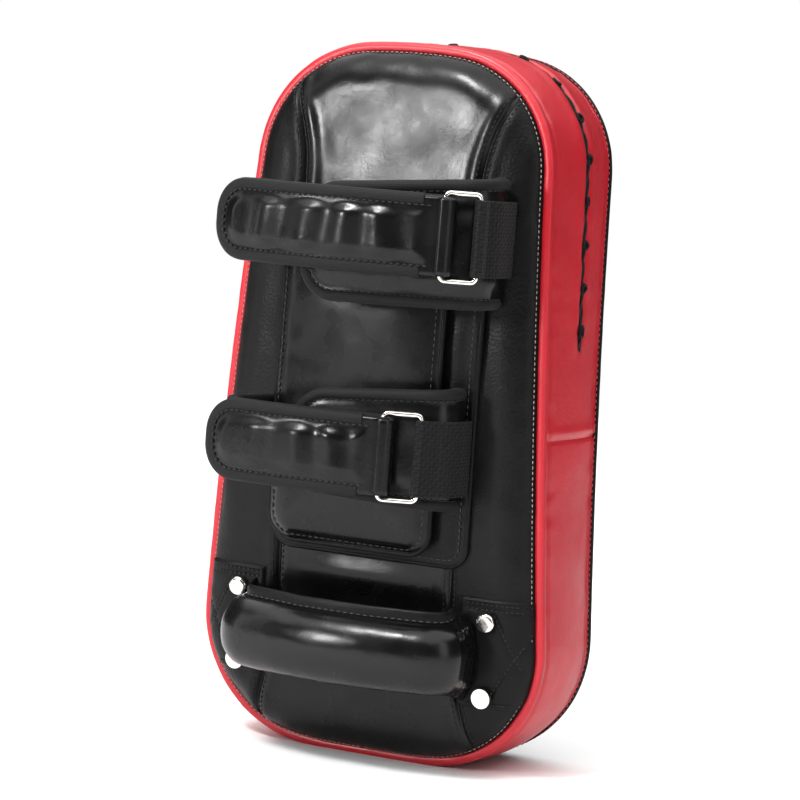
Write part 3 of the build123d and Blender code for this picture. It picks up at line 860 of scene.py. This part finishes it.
class Layer:
    """A path in X and in reach off the seam, and what is laid along it."""

    def __init__(self, path, seam):
        self.path = resample(path, step=0.8)
        self.run = arc_lengths(self.path)
        along = tangents(self.path)
        out = np.column_stack([-along[:, 1], along[:, 0]])
        middle = len(out) // 2
        self.out = out * (1 if out[0, 1] > 0 or out[middle, 1] > 0 else -1)
        self.seam = seam
        self.length = self.run[-1]

    def place(self, a, h, lift):
        x = np.interp(a, self.run, self.path[:, 0])
        reach = np.interp(a, self.run, self.path[:, 1])
        out_x = np.interp(a, self.run, self.out[:, 0])
        out_reach = np.interp(a, self.run, self.out[:, 1])
        return np.stack(
            [x + out_x * lift, self.seam(h) - reach - out_reach * lift, h + 0 * x], axis=-1
        )

    def normal(self, a):
        out_x = np.interp(a, self.run, self.out[:, 0])
        out_reach = np.interp(a, self.run, self.out[:, 1])
        return np.stack([out_x, -out_reach, 0 * out_x], axis=-1)

    def slab(self, name, plan, thickness, puff=None, rows=None, columns=25, edge=None):
        """A closed padded sheet of the plan's shape. puff(a, h, distance) lifts its outer side."""
        low_a, high_a = plan[:, 0].min(), plan[:, 0].max()
        rows = rows or max(24, int((high_a - low_a) / 1.6))
        turn = np.linspace(0, 1, rows)
        a = low_a + (high_a - low_a) * (0.75 * turn + 0.25 * (1 - np.cos(turn * np.pi)) / 2)
        a[0], a[-1] = low_a + 0.02, high_a - 0.02
        low, high = [], []
        following = np.roll(plan, -1, axis=0)
        for value in a:
            crossing = (plan[:, 0] - value) * (following[:, 0] - value) <= 0
            first, second = plan[crossing], following[crossing]
            span = second[:, 0] - first[:, 0]
            share = np.where(
                np.abs(span) > 1e-9, (value - first[:, 0]) / np.where(span == 0, 1, span), 0.5
            )
            heights = first[:, 1] + (second[:, 1] - first[:, 1]) * share
            low.append(heights.min())
            high.append(heights.max())
        across = (1 - np.cos(np.linspace(0, 1, columns) * np.pi)) / 2
        low, high = np.array(low)[:, None], np.array(high)[:, None]
        h = low + (high - low) * across[None]
        a = np.repeat(a[:, None], columns, axis=1)
        distance = plan_distance(plan, a, h)
        half = thickness / 2
        edge = edge or half
        fall = np.sqrt(np.clip(1 - (1 - np.clip(distance / edge, 0, 1)) ** 2, 0, 1))
        upper = half * fall + (puff(a, h, distance) if puff is not None else 0)
        lower = -half * fall
        verts = np.vstack([
            self.place(a, h, upper).reshape(-1, 3), self.place(a, h, lower).reshape(-1, 3)])
        faces = grid_faces(rows, columns) + grid_faces(
            rows, columns, offset=rows * columns, flip=True
        )
        rim = [i * columns for i in range(rows)]
        other = [i * columns + columns - 1 for i in range(rows)]
        first, last = list(range(columns)), list(range((rows - 1) * columns, rows * columns))
        below = rows * columns
        for line, turned in ((rim, False), (other, True), (first, True), (last, False)):
            for k in range(len(line) - 1):
                quad = (line[k], line[k + 1], line[k + 1] + below, line[k] + below)
                faces.append(quad[::-1] if not turned else quad)
        uvs = np.stack([a, h], axis=-1).reshape(-1, 2) * MM
        piece = mesh_object(name, verts, faces, np.vstack([uvs, uvs]))
        tidy_mesh(piece)
        return piece

    def rim(self, name, plan, inset, width, height, keep=None, lift=0.0, count=12):
        """A binding along the plan's edge, or along the part of it that keep picks."""
        line, inward, closed = self.rim_line(plan, inset, keep)
        ahead = self.place(
            line[:, 0] + inward[:, 0] * 0.5, line[:, 1] + inward[:, 1] * 0.5, 0 * line[:, 0] + lift
        )
        points = self.place(line[:, 0], line[:, 1], 0 * line[:, 0] + lift)
        return sweep(
            name, points, ahead - points, round_profile(width, height, count, 2.6), closed=closed
        )

    def rim_line(self, plan, inset, keep):
        heading = tangents(plan, closed=True)
        inward = np.column_stack([-heading[:, 1], heading[:, 0]])
        middle = plan.mean(axis=0)
        if np.sum((middle - plan) * inward) < 0:
            inward = -inward
        line = plan + inward * inset
        if keep is None:
            return line, inward, True
        chosen = keep(plan[:, 0], plan[:, 1])
        start = np.flatnonzero(chosen & ~np.roll(chosen, 1))[0]
        order = (np.arange(len(plan)) + start) % len(plan)
        order = order[chosen[order]]
        return line[order], inward[order], False

    def stitch_line(self, plan, inset, lift, keep=None):
        line, _, closed = self.rim_line(plan, inset, keep)
        if closed:
            line = np.vstack([line, line[:1]])
        points = self.place(line[:, 0], line[:, 1], 0 * line[:, 0] + lift)
        return points, self.normal(line[:, 0])


def tidy_mesh(piece, distance=0.00002):
    """Merge doubled points and turn every face outwards."""
    work = bmesh.new()
    work.from_mesh(piece.data)
    bmesh.ops.remove_doubles(work, verts=work.verts, dist=distance)
    bmesh.ops.dissolve_degenerate(work, edges=work.edges, dist=distance / 4)
    bmesh.ops.recalc_face_normals(work, faces=work.faces)
    for face in work.faces:
        face.smooth = True
    work.to_mesh(piece.data)
    work.free()
    piece.data.update()


# ---------------------------------------------------------------------------
# The forearm cushion
# ---------------------------------------------------------------------------
def build_cushion():
    flat = Layer([(-60, 15.6), (70, 15.6)], arm_seam)
    base_plan = rounded_plan([(3, 116, 12), (124.5, 116, 12), (124.5, 300, 12), (3, 300, 12)])

    def base_puff(a, h, distance):
        spots = np.stack([a, h, 0 * a], axis=-1)
        return 1.5 * smooth((distance - 5) / 10) + 0.5 * smooth(distance / 6) * value_noise(
            spots, 15, 51
        )

    base = flat.slab("cushion_base_cover", base_plan, 4.2, base_puff, columns=61)
    dress(base, "grained")
    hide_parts("cushion_base")
    raised = Layer([(-60, 22.5), (66, 22.5)], arm_seam)
    pad_plan = rounded_plan([(4, 121, 16), (105, 121, 14), (105, 299, 14), (4, 299, 16)])

    def pad_puff(a, h, distance):
        spots = np.stack([a, h, 0 * a + 30], axis=-1)
        dome = 5.4 * np.sqrt(np.clip(1 - (1 - np.clip((distance - 5) / 34, 0, 1)) ** 2, 0, 1))
        return dome + smooth(distance / 12) * (
            0.7 * value_noise(spots, 26, 52) + 0.25 * value_noise(spots, 9, 53)
        )

    pad = raised.slab("cushion_pad_cover", pad_plan, 11, pad_puff, columns=71, edge=6)
    dress(pad, "glossy")
    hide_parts("cushion_pad")
    piped = raised.rim("cushion_piping", pad_plan, 0.6, 3.0, 3.0, lift=1.6)
    dress(piped, "band")
    hem = flat.rim("cushion_base_piping", base_plan, 0.8, 2.8, 3.4, lift=0.2)
    dress(hem, "band")
    rows = [flat.stitch_line(base_plan, 4.6, 2.4), raised.stitch_line(pad_plan, 3.6, 5.3)]
    stitches = stitching("cushion_stitching", rows, pitch=3.8, length=2.6, radius=0.34)
    dress(stitches, "grey_thread")


# ---------------------------------------------------------------------------
# Handle bands, rivets and the padded grip
# ---------------------------------------------------------------------------
BAND_LOW, BAND_HIGH, BAND_INNER = 40.0, 102.0, 62.0
RIVET_X, RIVET_HEIGHTS = 78.0, (48.0, 90.0)


def build_bands():
    heights = np.linspace(BAND_LOW, BAND_HIGH, 54)
    share = np.linspace(0, 1, 46)
    half = RING[:len(HALF)]
    outer = np.interp(heights, half[:, 1], half[:, 0]) - 3.4
    x = BAND_INNER + (outer[:, None] - BAND_INNER) * share[None]
    z = np.repeat(heights[:, None], len(share), axis=1)
    near = np.minimum(np.minimum(z - BAND_LOW, BAND_HIGH - z), x - BAND_INNER)
    thickness = 2.3 * np.sqrt(np.clip(1 - (1 - np.clip(near / 1.4, 0, 1)) ** 2, 0, 1))
    spots = np.stack([x, z, 0 * x], axis=-1)
    thickness = thickness + 0.35 * smooth(near / 5) * value_noise(spots, 14, 61)
    for height in RIVET_HEIGHTS:
        apart = np.hypot(x - RIVET_X, z - height)
        thickness = thickness - 0.7 * np.exp(-(apart / 8) ** 2)
    groove = np.zeros_like(x)
    for line in band_lines():
        (x1, z1), (x2, z2) = line
        run = np.array([x2 - x1, z2 - z1])
        along = np.clip(((x - x1) * run[0] + (z - z1) * run[1]) / (run @ run), 0, 1)
        apart = np.hypot(x - x1 - along * run[0], z - z1 - along * run[1])
        groove = groove + np.exp(-(apart / 1.1) ** 2)
    thickness = thickness - 0.55 * np.minimum(groove, 1) * smooth(near / 1.5)
    for tag, sign in (("right", 1), ("left", -1)):
        verts = arm_point(sign * x, z, thickness)
        uvs = np.stack([x, z], axis=-1) * MM
        band = mesh_object("handle_band_" + tag + "_skin", verts.reshape(-1, 3),
                           grid_faces(*x.shape, flip=sign > 0), uvs.reshape(-1, 2))
        dress(band, "band")
        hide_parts("handle_band_" + tag)
        rows = []
        for (x1, z1), (x2, z2) in band_lines():
            count = max(8, int(math.hypot(x2 - x1, z2 - z1)))
            xs, zs = np.linspace(x1, x2, count), np.linspace(z1, z2, count)
            keep = xs < np.interp(zs, half[:, 1], half[:, 0]) - 6
            points = arm_point(sign * xs[keep], zs[keep], 1.9)
            rows.append((points, np.tile([0.0, -1.0, 0.0], (len(points), 1))))
        stitches = stitching("band_" + tag + "_stitching", rows, pitch=2.9, length=2.1, radius=0.42)
        dress(stitches, "thread")


def band_lines():
    """The band's stitch lines: a double hem at the top, one at the bottom, and a cross."""
    low, high = BAND_LOW + 4, BAND_HIGH - 4
    left, right = BAND_INNER + 20, 109
    return [
        ((BAND_INNER + 3, BAND_HIGH - 3), (right, BAND_HIGH - 3)),
        ((BAND_INNER + 3, BAND_HIGH - 6), (right, BAND_HIGH - 6)),
        ((BAND_INNER + 3, BAND_LOW + 3), (right, BAND_LOW + 3)),
        ((left, high - 4), (right, low)),
        ((left, low + 4), (right, high - 4)),
    ]


GRIP_HEIGHT = 68.0
GRIP_HALF_HEIGHT = 20.0
GRIP_HALF_DEPTH = 15.0
GRIP_TOP = 51.0
GRIP_ELBOW_X = 61.0
GRIP_ELBOW_REACH = 41.0


def grip_path():
    """The grip's middle line in x and reach, from its left foot over the top to its right foot."""
    x = np.linspace(-GRIP_ELBOW_X, GRIP_ELBOW_X, 121)
    fall = (GRIP_ELBOW_X ** 2 / 2) / (GRIP_TOP - GRIP_ELBOW_REACH)
    reach = GRIP_TOP - x ** 2 / (2 * fall)
    crown_line = np.column_stack([x, reach])
    foot = np.array([[GRIP_ELBOW_X + 4.0, 16.0], [GRIP_ELBOW_X + 1.0, 26.0]])
    route = np.vstack([foot * [-1, 1], crown_line, foot[::-1]])
    route = resample(route, 161)
    kernel = np.ones(19) / 19
    padded = np.vstack([np.repeat(route[:1], 9, axis=0), route, np.repeat(route[-1:], 9, axis=0)])
    eased = np.column_stack([np.convolve(padded[:, k], kernel, mode="valid") for k in range(2)])
    eased[0], eased[-1] = route[0], route[-1]
    return resample(eased, 141)


def grip_points():
    path = grip_path()
    return np.column_stack(
        [path[:, 0], arm_seam(GRIP_HEIGHT) - path[:, 1], np.full(len(path), GRIP_HEIGHT)]
    )


def grip_profile(count=48):
    """Half height and half depth along the grip, with soft folds gathered at its ends."""
    points = grip_points()
    share = np.linspace(-1, 1, len(points))
    angle = np.linspace(0, 2 * np.pi, count, endpoint=False)
    end = smooth((np.abs(share) - 0.72) / 0.28)
    depth = GRIP_HALF_DEPTH * (1 - 0.38 * end)
    height = GRIP_HALF_HEIGHT * (1 + 0.16 * end)
    power = 2.15
    x = np.sign(np.cos(angle)) * np.abs(np.cos(angle)) ** (2 / power)
    y = np.sign(np.sin(angle)) * np.abs(np.sin(angle)) ** (2 / power)
    profile = np.stack([x[None] * height[:, None], y[None] * depth[:, None]], axis=-1)
    fold = np.sin(angle * 9 + 1.3)[None] * end[:, None] * 0.9
    spots = np.stack(np.broadcast_arrays(
        share[:, None] * 60, np.cos(angle)[None] * 20, np.sin(angle)[None] * 20), -1)
    swell = 1 + (fold + 0.5 * value_noise(spots, 15, 71) + 0.15 * value_noise(spots, 5, 72)) / 20
    ring_fold = np.exp(-((np.abs(share) - 0.80) / 0.015) ** 2) + np.exp(
        -((np.abs(share) - 0.88) / 0.018) ** 2
    )
    swell = swell - 0.028 * ring_fold[:, None]
    return points, profile * swell[..., None]


def build_grip():
    points, profile = grip_profile()
    side = np.tile([0.0, 0.0, 1.0], (len(points), 1))
    cover = sweep("grip_cover", points, side, profile)
    dress(cover, "grip")
    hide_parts("handle_cover", "handle_core")
    top = points.copy()
    top[:, 2] += profile[:, 0, 0] + 1.8
    keep = slice(8, len(points) - 8)
    flange = sweep("grip_flange", top[keep], side[keep], round_profile(9.0, 3.0, 14, 2.6))
    dress(flange, "band")
    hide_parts("handle_flange")
    along = tangents(top[keep])
    out = np.cross(along, side[keep])
    out = out * np.sign(-out[:, 1:2])
    line = top[keep] + out * 1.4
    line[:, 2] -= 1.2
    stitches = stitching("grip_flange_stitching", [(line, out)], pitch=4.0, length=2.8, radius=0.36)
    dress(stitches, "grey_thread")


# ---------------------------------------------------------------------------
# Cuffs
# ---------------------------------------------------------------------------
CUFFS = {
    "upper": dict(left_bar=56.5, right_bar=73.0, bar_reach=60.0, tip=-78.0, bend=-56.0, root=-63.0,
                  leaf_start=-28.0, shoulder=62.5, skip=35.0,
                   leaf_root=71.5, leaf_rise=14.8, middle=299.5,
                  leaf=((259.5, 20), (262.0, 8), (333.0, 8), (322.0, 20)), seed=100),
    "lower": dict(left_bar=30.5, right_bar=49.0, bar_reach=62.0, tip=-74.0, bend=-56.0, root=-63.0,
                  leaf_start=-28.0, shoulder=47.8, skip=20.0,
                   leaf_root=57.0, leaf_rise=19.0, middle=178.6,
                  leaf=((155.5, 16), (149.5, 8), (217.0, 8), (209.5, 22)), seed=200),
}
CROWN_RADIUS = 230.0
LAYER = 4.4
LEAF_DROP = 12.2
WIRE_RADIUS = 1.4
LEAF_FACE = 5.4
TONGUE_TURN = 12.0
# How far short of its root each binding or stitch row stops, to clear the ring and the fold
LEAF_RIM_GAP = 3
TONGUE_RIM_GAP = 8.5
TONGUE_STITCH_GAP = 4


def crown_point(cuff, x, rise):
    middle_x = (cuff["left_bar"] + cuff["tip"]) / 2
    half_chord = (cuff["left_bar"] - cuff["tip"]) / 2
    centre = cuff["bar_reach"] - math.sqrt(CROWN_RADIUS ** 2 - half_chord ** 2)
    return np.column_stack([x, centre + np.sqrt((CROWN_RADIUS + rise) ** 2 - (x - middle_x) ** 2)])


def turned(points, radius, degrees):
    """Adds an arc that carries on from the last two points, to the left if degrees is positive."""
    heading = unit(points[-1] - points[-2])
    left = np.array([-heading[1], heading[0]]) * (1 if degrees > 0 else -1)
    centre = points[-1] + left * radius
    angle = np.linspace(0, abs(math.radians(degrees)), 24)[1:, None]
    return np.vstack(
        [points, centre - left * radius * np.cos(angle) + heading * radius * np.sin(angle)]
    )


def cuff_seam(cuff):
    return lambda h: arm_seam(cuff["middle"]) + 0 * h


def strap_layer(cuff):
    """From the ring's left bar, round the left bend and down to the root, left to right reversed."""
    x = np.linspace(cuff["left_bar"] - 1.0, cuff["bend"], 120)
    path = turned(crown_point(cuff, x, -LAYER), 17, 100)
    path = np.vstack([path, [[cuff["root"], 14.0]]])
    return Layer(path, cuff_seam(cuff))


def leaf_layer(cuff, rise=0.0):
    middle_x = (cuff["left_bar"] + cuff["tip"]) / 2
    shoulder = middle_x + (cuff["shoulder"] - middle_x) * (1 + rise / (CROWN_RADIUS - LEAF_DROP))
    x = np.linspace(cuff["leaf_start"], shoulder, 100)
    top = crown_point(cuff, x, rise - LEAF_DROP)
    path = turned(top, 14 + rise, -75)
    path = np.vstack([path, [[cuff["leaf_root"] + rise, cuff["leaf_rise"]]]])
    layer = Layer(path, cuff_seam(cuff))
    layer.crown_length = arc_lengths(top)[-1]
    return layer


def tongue_layer(cuff):
    """From the free tip over the crown to the top of the ring's left bar."""
    x = np.linspace(cuff["tip"], cuff["left_bar"], 120)
    path = turned(crown_point(cuff, x, LAYER), LAYER, -TONGUE_TURN)
    return Layer(path, cuff_seam(cuff))


def build_leaf(name, cuff):
    layer = leaf_layer(cuff)
    (low_left, r1), (low_right, r2), (high_right, r3), (high_left, r4) = cuff["leaf"]
    plan = rounded_plan([(0, low_left, r1), (layer.length, low_right, r2),
                         (layer.length, high_right, r3), (0, high_left, r4)])

    def puff(a, h, distance):
        spots = np.stack([a, h, 0 * a + cuff["seed"]], axis=-1)
        swell = 2.0 * smooth((distance - 6.5) / 9)
        return swell + smooth((distance - 4) / 10) * (
            0.8 * value_noise(spots, 17, 81) + 0.3 * value_noise(spots, 7, 82)
        )

    leaf = layer.slab(name + "_leaf_pad", plan, 6.4, puff, columns=45)
    dress(leaf, "tongue")
    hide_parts(name + "_leaf")

    def keep(along, height):
        return along < layer.length - LEAF_RIM_GAP

    rim = layer.rim(name + "_leaf_rim", plan, 2.8, 7.4, 7.6, keep)
    dress(rim, "binding")
    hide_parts(name + "_leaf_binding")
    rows = [layer.stitch_line(plan, 5.4, 3.5, keep)]
    stitches = stitching(name + "_leaf_stitching", rows, pitch=3.6, length=2.5, radius=0.4)
    dress(stitches, "thread")


def build_strap(name, cuff):
    layer = strap_layer(cuff)
    low, high = cuff["middle"] - 21.5, cuff["middle"] + 21.5
    plan = rounded_plan(
        [(0, low, 1), (layer.length, low, 1), (layer.length, high, 1), (0, high, 1)]
    )

    def puff(a, h, distance):
        spots = np.stack([a, h, 0 * a + cuff["seed"] + 9], axis=-1)
        return 0.6 * smooth((distance - 4) / 8) * value_noise(spots, 13, 83)

    strap = layer.slab(name + "_strap_body", plan, 4.8, puff, columns=31)
    dress(strap, "tongue")
    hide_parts(name + "_strap")
    soft = [strap]
    pieces = []
    for edge in (low + 2.6, high - 2.6):
        count = 150
        a = np.linspace(0.5, layer.length - 0.5, count)
        points = layer.place(a, np.full(count, edge), np.zeros(count))
        side = np.tile([0.0, 0.0, 1.0], (count, 1))
        pieces.append(sweep("edge", points, side, round_profile(6.8, 6.6, 12, 2.6)))
    rim = joined(name + "_strap_rim", pieces)
    dress(rim, "binding")
    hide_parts(name + "_strap_binding")
    soft.append(rim)
    rows = []
    for edge in (low + 7.2, high - 7.2):
        a = np.linspace(2, layer.length - 2, 200)
        rows.append((layer.place(a, np.full(200, edge), np.full(200, 2.2)), layer.normal(a)))
    stitches = stitching(name + "_strap_stitching", rows, pitch=3.6, length=2.5, radius=0.38)
    dress(stitches, "thread")
    soft.append(stitches)
    loop = patch(
        name + "_loop_tape", layer, cuff, 12, cuff["left_bar"] - cuff["tip"] - 32, 3.2, "loop"
    )
    dress(loop, "loop")
    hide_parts(name + "_loop_patch")
    soft.append(loop)
    for piece in soft:
        piece.parent = None
        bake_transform(piece)


def patch(name, layer, cuff, start, end, lift, kind):
    """A strip of hook or loop tape on one side of a layer."""
    middle = cuff["middle"]
    plan = rounded_plan([(start, middle - 13.5, 1.5), (end, middle - 13.5, 1.5),
                         (end, middle + 13.5, 1.5), (start, middle + 13.5, 1.5)])
    raised = Layer(layer.path + layer.out * lift, layer.seam)

    def nap(a, h, distance):
        size, depth = (2.4, 0.22) if kind == "hook" else (3.5, 0.12)
        return depth * smooth(distance / 1.5) * value_noise(
            np.stack([a, h, 0 * a], axis=-1), size, 91
        )

    return raised.slab(name, plan, 0.9, nap, columns=41, rows=150)


def build_tongue(name, cuff):
    layer = tongue_layer(cuff)
    low, high = cuff["middle"] - 21.8, cuff["middle"] + 21.8
    wrap = LAYER * math.radians(TONGUE_TURN)
    plan = rounded_plan(
        [(0, low, 19), (layer.length, low, 1), (layer.length, high, 1), (0, high, 19)]
    )
    creases = np.random.default_rng(cuff["seed"])
    ridges = np.cumsum(creases.uniform(19, 31, 6)) + 6
    lean = creases.uniform(-0.2, 0.2, 6)
    depth = creases.uniform(0.9, 1.7, 6)

    def puff(a, h, distance):
        spots = np.stack([a, h, 0 * a + cuff["seed"] + 5], axis=-1)
        swell = 1.7 * smooth((distance - 6.8) / 7)
        folds = 0
        for place, tilt, fold in zip(ridges, lean, depth):
            apart = a - place - tilt * (h - cuff["middle"])
            folds = folds + fold * (
                np.exp(-(apart / 6.8) ** 2) - 0.5 * np.exp(-((apart - 12) / 5.5) ** 2)
            )
        near_bar = smooth((layer.length - wrap - a) / 12)
        loose = smooth((distance - 6) / 7) * near_bar
        return swell + loose * (folds + 0.35 * value_noise(spots, 20, 84))

    tongue = layer.slab(name + "_tongue_pad", plan, 4.8, puff, columns=45)
    body = name + "_tongue_body"
    dress(tongue, "tongue", body)
    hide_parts(name + "_tongue")

    def keep(along, height):
        return along < layer.length - wrap - TONGUE_RIM_GAP

    def inner(along, height):
        return along < layer.length - wrap - TONGUE_STITCH_GAP

    rim = layer.rim(name + "_tongue_rim", plan, 2.8, 7.4, 6.0, keep)
    dress(rim, "binding", body)
    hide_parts(name + "_tongue_binding")
    rows = [layer.stitch_line(plan, 5.6, 2.9, inner)]
    stitches = stitching(name + "_tongue_stitching", rows, pitch=3.6, length=2.6, radius=0.42)
    dress(stitches, "thread", body)
    hook = patch(
        name + "_hook_tape", layer, cuff, 18, cuff["left_bar"] - cuff["tip"] - 26, -2.7, "hook"
    )
    dress(hook, "hook", body)
    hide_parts(name + "_hook_patch")


def build_fold(name, cuff):
    """The turn of the strap round the ring's left bar."""
    angle = np.linspace(-math.pi / 2 - 0.3, math.pi / 2 + 0.25, 40)
    bar = np.array([cuff["left_bar"], cuff["bar_reach"]])
    path = bar + np.column_stack([np.cos(angle), np.sin(angle)]) * 4.3
    layer = Layer(path, cuff_seam(cuff))
    plan = rounded_plan([(0, cuff["middle"] - 21.2, 1), (layer.length, cuff["middle"] - 21.2, 1),
                         (layer.length, cuff["middle"] + 21.2, 1), (0, cuff["middle"] + 21.2, 1)])
    fold = layer.slab(name + "_fold_cover", plan, 4.6, None, rows=40, columns=31)
    dress(fold, "tongue", name + "_ring_body")
    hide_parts(name + "_strap_fold")


def build_webbing(name, cuff):
    """Webbing round the ring's right bar, its two layers sewn together and down over the leaf."""
    bar = crown_point(cuff, np.array([cuff["right_bar"]]), 8.1 - LEAF_DROP)[0]
    layer = leaf_layer(cuff, LEAF_FACE)
    skipped = (14 + LEAF_FACE) * math.radians(cuff["skip"])
    tail = layer.path[layer.run > layer.crown_length + skipped]
    loop_radius = WIRE_RADIUS + 0.3 + 0.8
    toward = unit(tail[0] - bar)
    across = np.array([-toward[1], toward[0]])
    angle = np.linspace(math.pi / 2, 3 * math.pi / 2, 24)[:, None]
    loop = bar + (toward * np.cos(angle) + across * np.sin(angle)) * loop_radius
    near = tail[0] + across * 0.8
    under = tail[0] - across * 0.8 + toward * 3
    upper_tail = Layer(tail, layer.seam)
    top = upper_tail.path + upper_tail.out * 0.8
    low = upper_tail.path - upper_tail.out * 0.8
    route = np.vstack([top[::-1], [near], loop, [under], low[5:]])
    route = route[np.concatenate([[True], np.linalg.norm(np.diff(route, axis=0), axis=1) > 0.05])]
    web = Layer(route, layer.seam)
    height = 20.8
    plan = rounded_plan([
        (0, cuff["middle"] - height, 0.6), (web.length, cuff["middle"] - height, 0.6),
        (web.length, cuff["middle"] + height, 0.6), (0, cuff["middle"] + height, 0.6)])

    def ribs(a, h, distance):
        rib = np.sin((h - cuff["middle"]) * 2 * math.pi / 2.6)
        twill = np.sin(a * 2 * math.pi / 2.0 + np.round((h - cuff["middle"]) / 2.6) * math.pi)
        return smooth(distance / 0.8) * (0.16 * rib + 0.14 * twill)

    piece = web.slab(
        name + "_webbing_tape", plan, 1.5, ribs, rows=int(web.length / 0.45), columns=97
    )
    dress(piece, "webbing")
    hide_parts(name + "_webbing")


def dress_cad(node, material):
    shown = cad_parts[node]
    shown.data.materials.clear()
    shown.data.materials.append(MATERIALS[material])


build_arm_panels()
build_seam_stitches()
build_strike_face()
build_gusset()
build_rims()
build_lacing()
build_cushion()
build_bands()
build_grip()
for cuff_name, cuff_sizes in CUFFS.items():
    build_leaf(cuff_name, cuff_sizes)
    build_strap(cuff_name, cuff_sizes)
    build_fold(cuff_name, cuff_sizes)
    build_tongue(cuff_name, cuff_sizes)
    build_webbing(cuff_name, cuff_sizes)
    dress_cad(cuff_name + "_ring", "nickel")
for node_name in ("rivet_caps", "rivet_posts"):
    dress_cad(node_name, "nickel")
for node_name in ("arm_side_foam", "middle_foam", "strike_foam", "lace_backing"):
    dress_cad(node_name, "foam")
dress_cad("lace_backing", "lace")


# ---------------------------------------------------------------------------
# Camera, lights and floor
# ---------------------------------------------------------------------------
def add_camera():
    yaw, pitch, roll = 0.4557, 0.0827, 0.0789
    turn_y = np.array(
        [[math.cos(yaw), 0, -math.sin(yaw)], [0, 1, 0], [math.sin(yaw), 0, math.cos(yaw)]]
    )
    turn_x = np.array(
        [[1, 0, 0], [0, math.cos(pitch), -math.sin(pitch)], [0, math.sin(pitch), math.cos(pitch)]]
    )
    turn_z = np.array(
        [[math.cos(roll), math.sin(roll), 0], [-math.sin(roll), math.cos(roll), 0], [0, 0, 1]]
    )
    rows = turn_z @ turn_x @ turn_y
    axes = np.column_stack([rows[:, 0], -rows[:, 2], rows[:, 1]])
    right, up, back = axes
    target = np.array([0.0, -43.55, 207.3])
    spot = target + back * 1800 + right * 8.5 - up * 3.9
    camera = bpy.data.cameras.new("camera")
    camera.lens = 144.6
    camera.sensor_width = 36
    camera.clip_start = 0.05
    camera.clip_end = 50
    holder = bpy.data.objects.new("camera", camera)
    matrix = Matrix.Identity(4)
    for k, axis in enumerate((right, up, back)):
        for row in range(3):
            matrix[row][k] = axis[row]
    matrix.translation = Vector(spot * MM)
    holder.matrix_world = matrix
    bpy.context.collection.objects.link(holder)
    bpy.context.scene.camera = holder


def add_light(name, place, target, size, power, shape="RECTANGLE", size_y=None):
    light = bpy.data.lights.new(name, "AREA")
    light.shape = shape
    light.size = size
    light.size_y = size_y or size
    light.energy = power
    holder = bpy.data.objects.new(name, light)
    holder.location = place
    holder.rotation_euler = (Vector(target) - Vector(place)).to_track_quat("-Z", "Y").to_euler()
    bpy.context.collection.objects.link(holder)


FLOOR_RADIUS = 2400.0


def add_stage():
    floor_material, nodes, links, shader = new_material("studio_floor")
    vector = texture_coordinates(nodes, links)
    tone = noise(nodes, links, vector, 3, 2)
    links.new(ramp(nodes, links, tone, grey(0.86), grey(0.90)), shader.inputs["Base Color"])
    shader.inputs["Roughness"].default_value = 0.8
    angle = np.linspace(0, 2 * np.pi, 96, endpoint=False)
    edge = np.column_stack([np.cos(angle), np.sin(angle), 0 * angle]) * FLOOR_RADIUS
    floor = mesh_object("studio_floor", edge, [tuple(range(96))])
    floor.data.materials.append(floor_material)
    world = bpy.data.worlds.new("studio")
    world.use_nodes = True
    tree = world.node_tree
    room = tree.nodes["Background"]
    room.inputs["Color"].default_value = (1, 1, 1, 1)
    room.inputs["Strength"].default_value = 0.10
    backdrop = tree.nodes.new("ShaderNodeBackground")
    backdrop.inputs["Color"].default_value = (1, 1, 1, 1)
    backdrop.inputs["Strength"].default_value = 1.0
    seen = tree.nodes.new("ShaderNodeLightPath")
    mix = tree.nodes.new("ShaderNodeMixShader")
    tree.links.new(seen.outputs["Is Camera Ray"], mix.inputs["Fac"])
    tree.links.new(room.outputs["Background"], mix.inputs[1])
    tree.links.new(backdrop.outputs["Background"], mix.inputs[2])
    tree.links.new(mix.outputs["Shader"], tree.nodes["World Output"].inputs["Surface"])
    bpy.context.scene.world = world


add_camera()
add_stage()
add_light("overhead_softbox", (0.0, 0.0, 4.0), (0, 0, 0), 9.0, 570, size_y=9.0)
add_light("key_softbox", (-0.35, -1.3, 1.7), (0, 0, 0.25), 0.5, 34, size_y=0.3)
add_light("panel_softbox", (-0.70, -1.46, 0.52), (0, -0.06, 0.33), 0.22, 12, size_y=0.28)
add_light("right_softbox", (1.9, -0.6, 0.8), (0, 0, 0.2), 0.7, 7, size_y=1.4)
add_light("left_strip", (-1.6, -0.9, 0.6), (0, 0, 0.2), 0.25, 3.5, size_y=1.3)
bpy.context.scene.view_settings.view_transform = "Standard"
bpy.context.scene.view_settings.gamma = 0.86
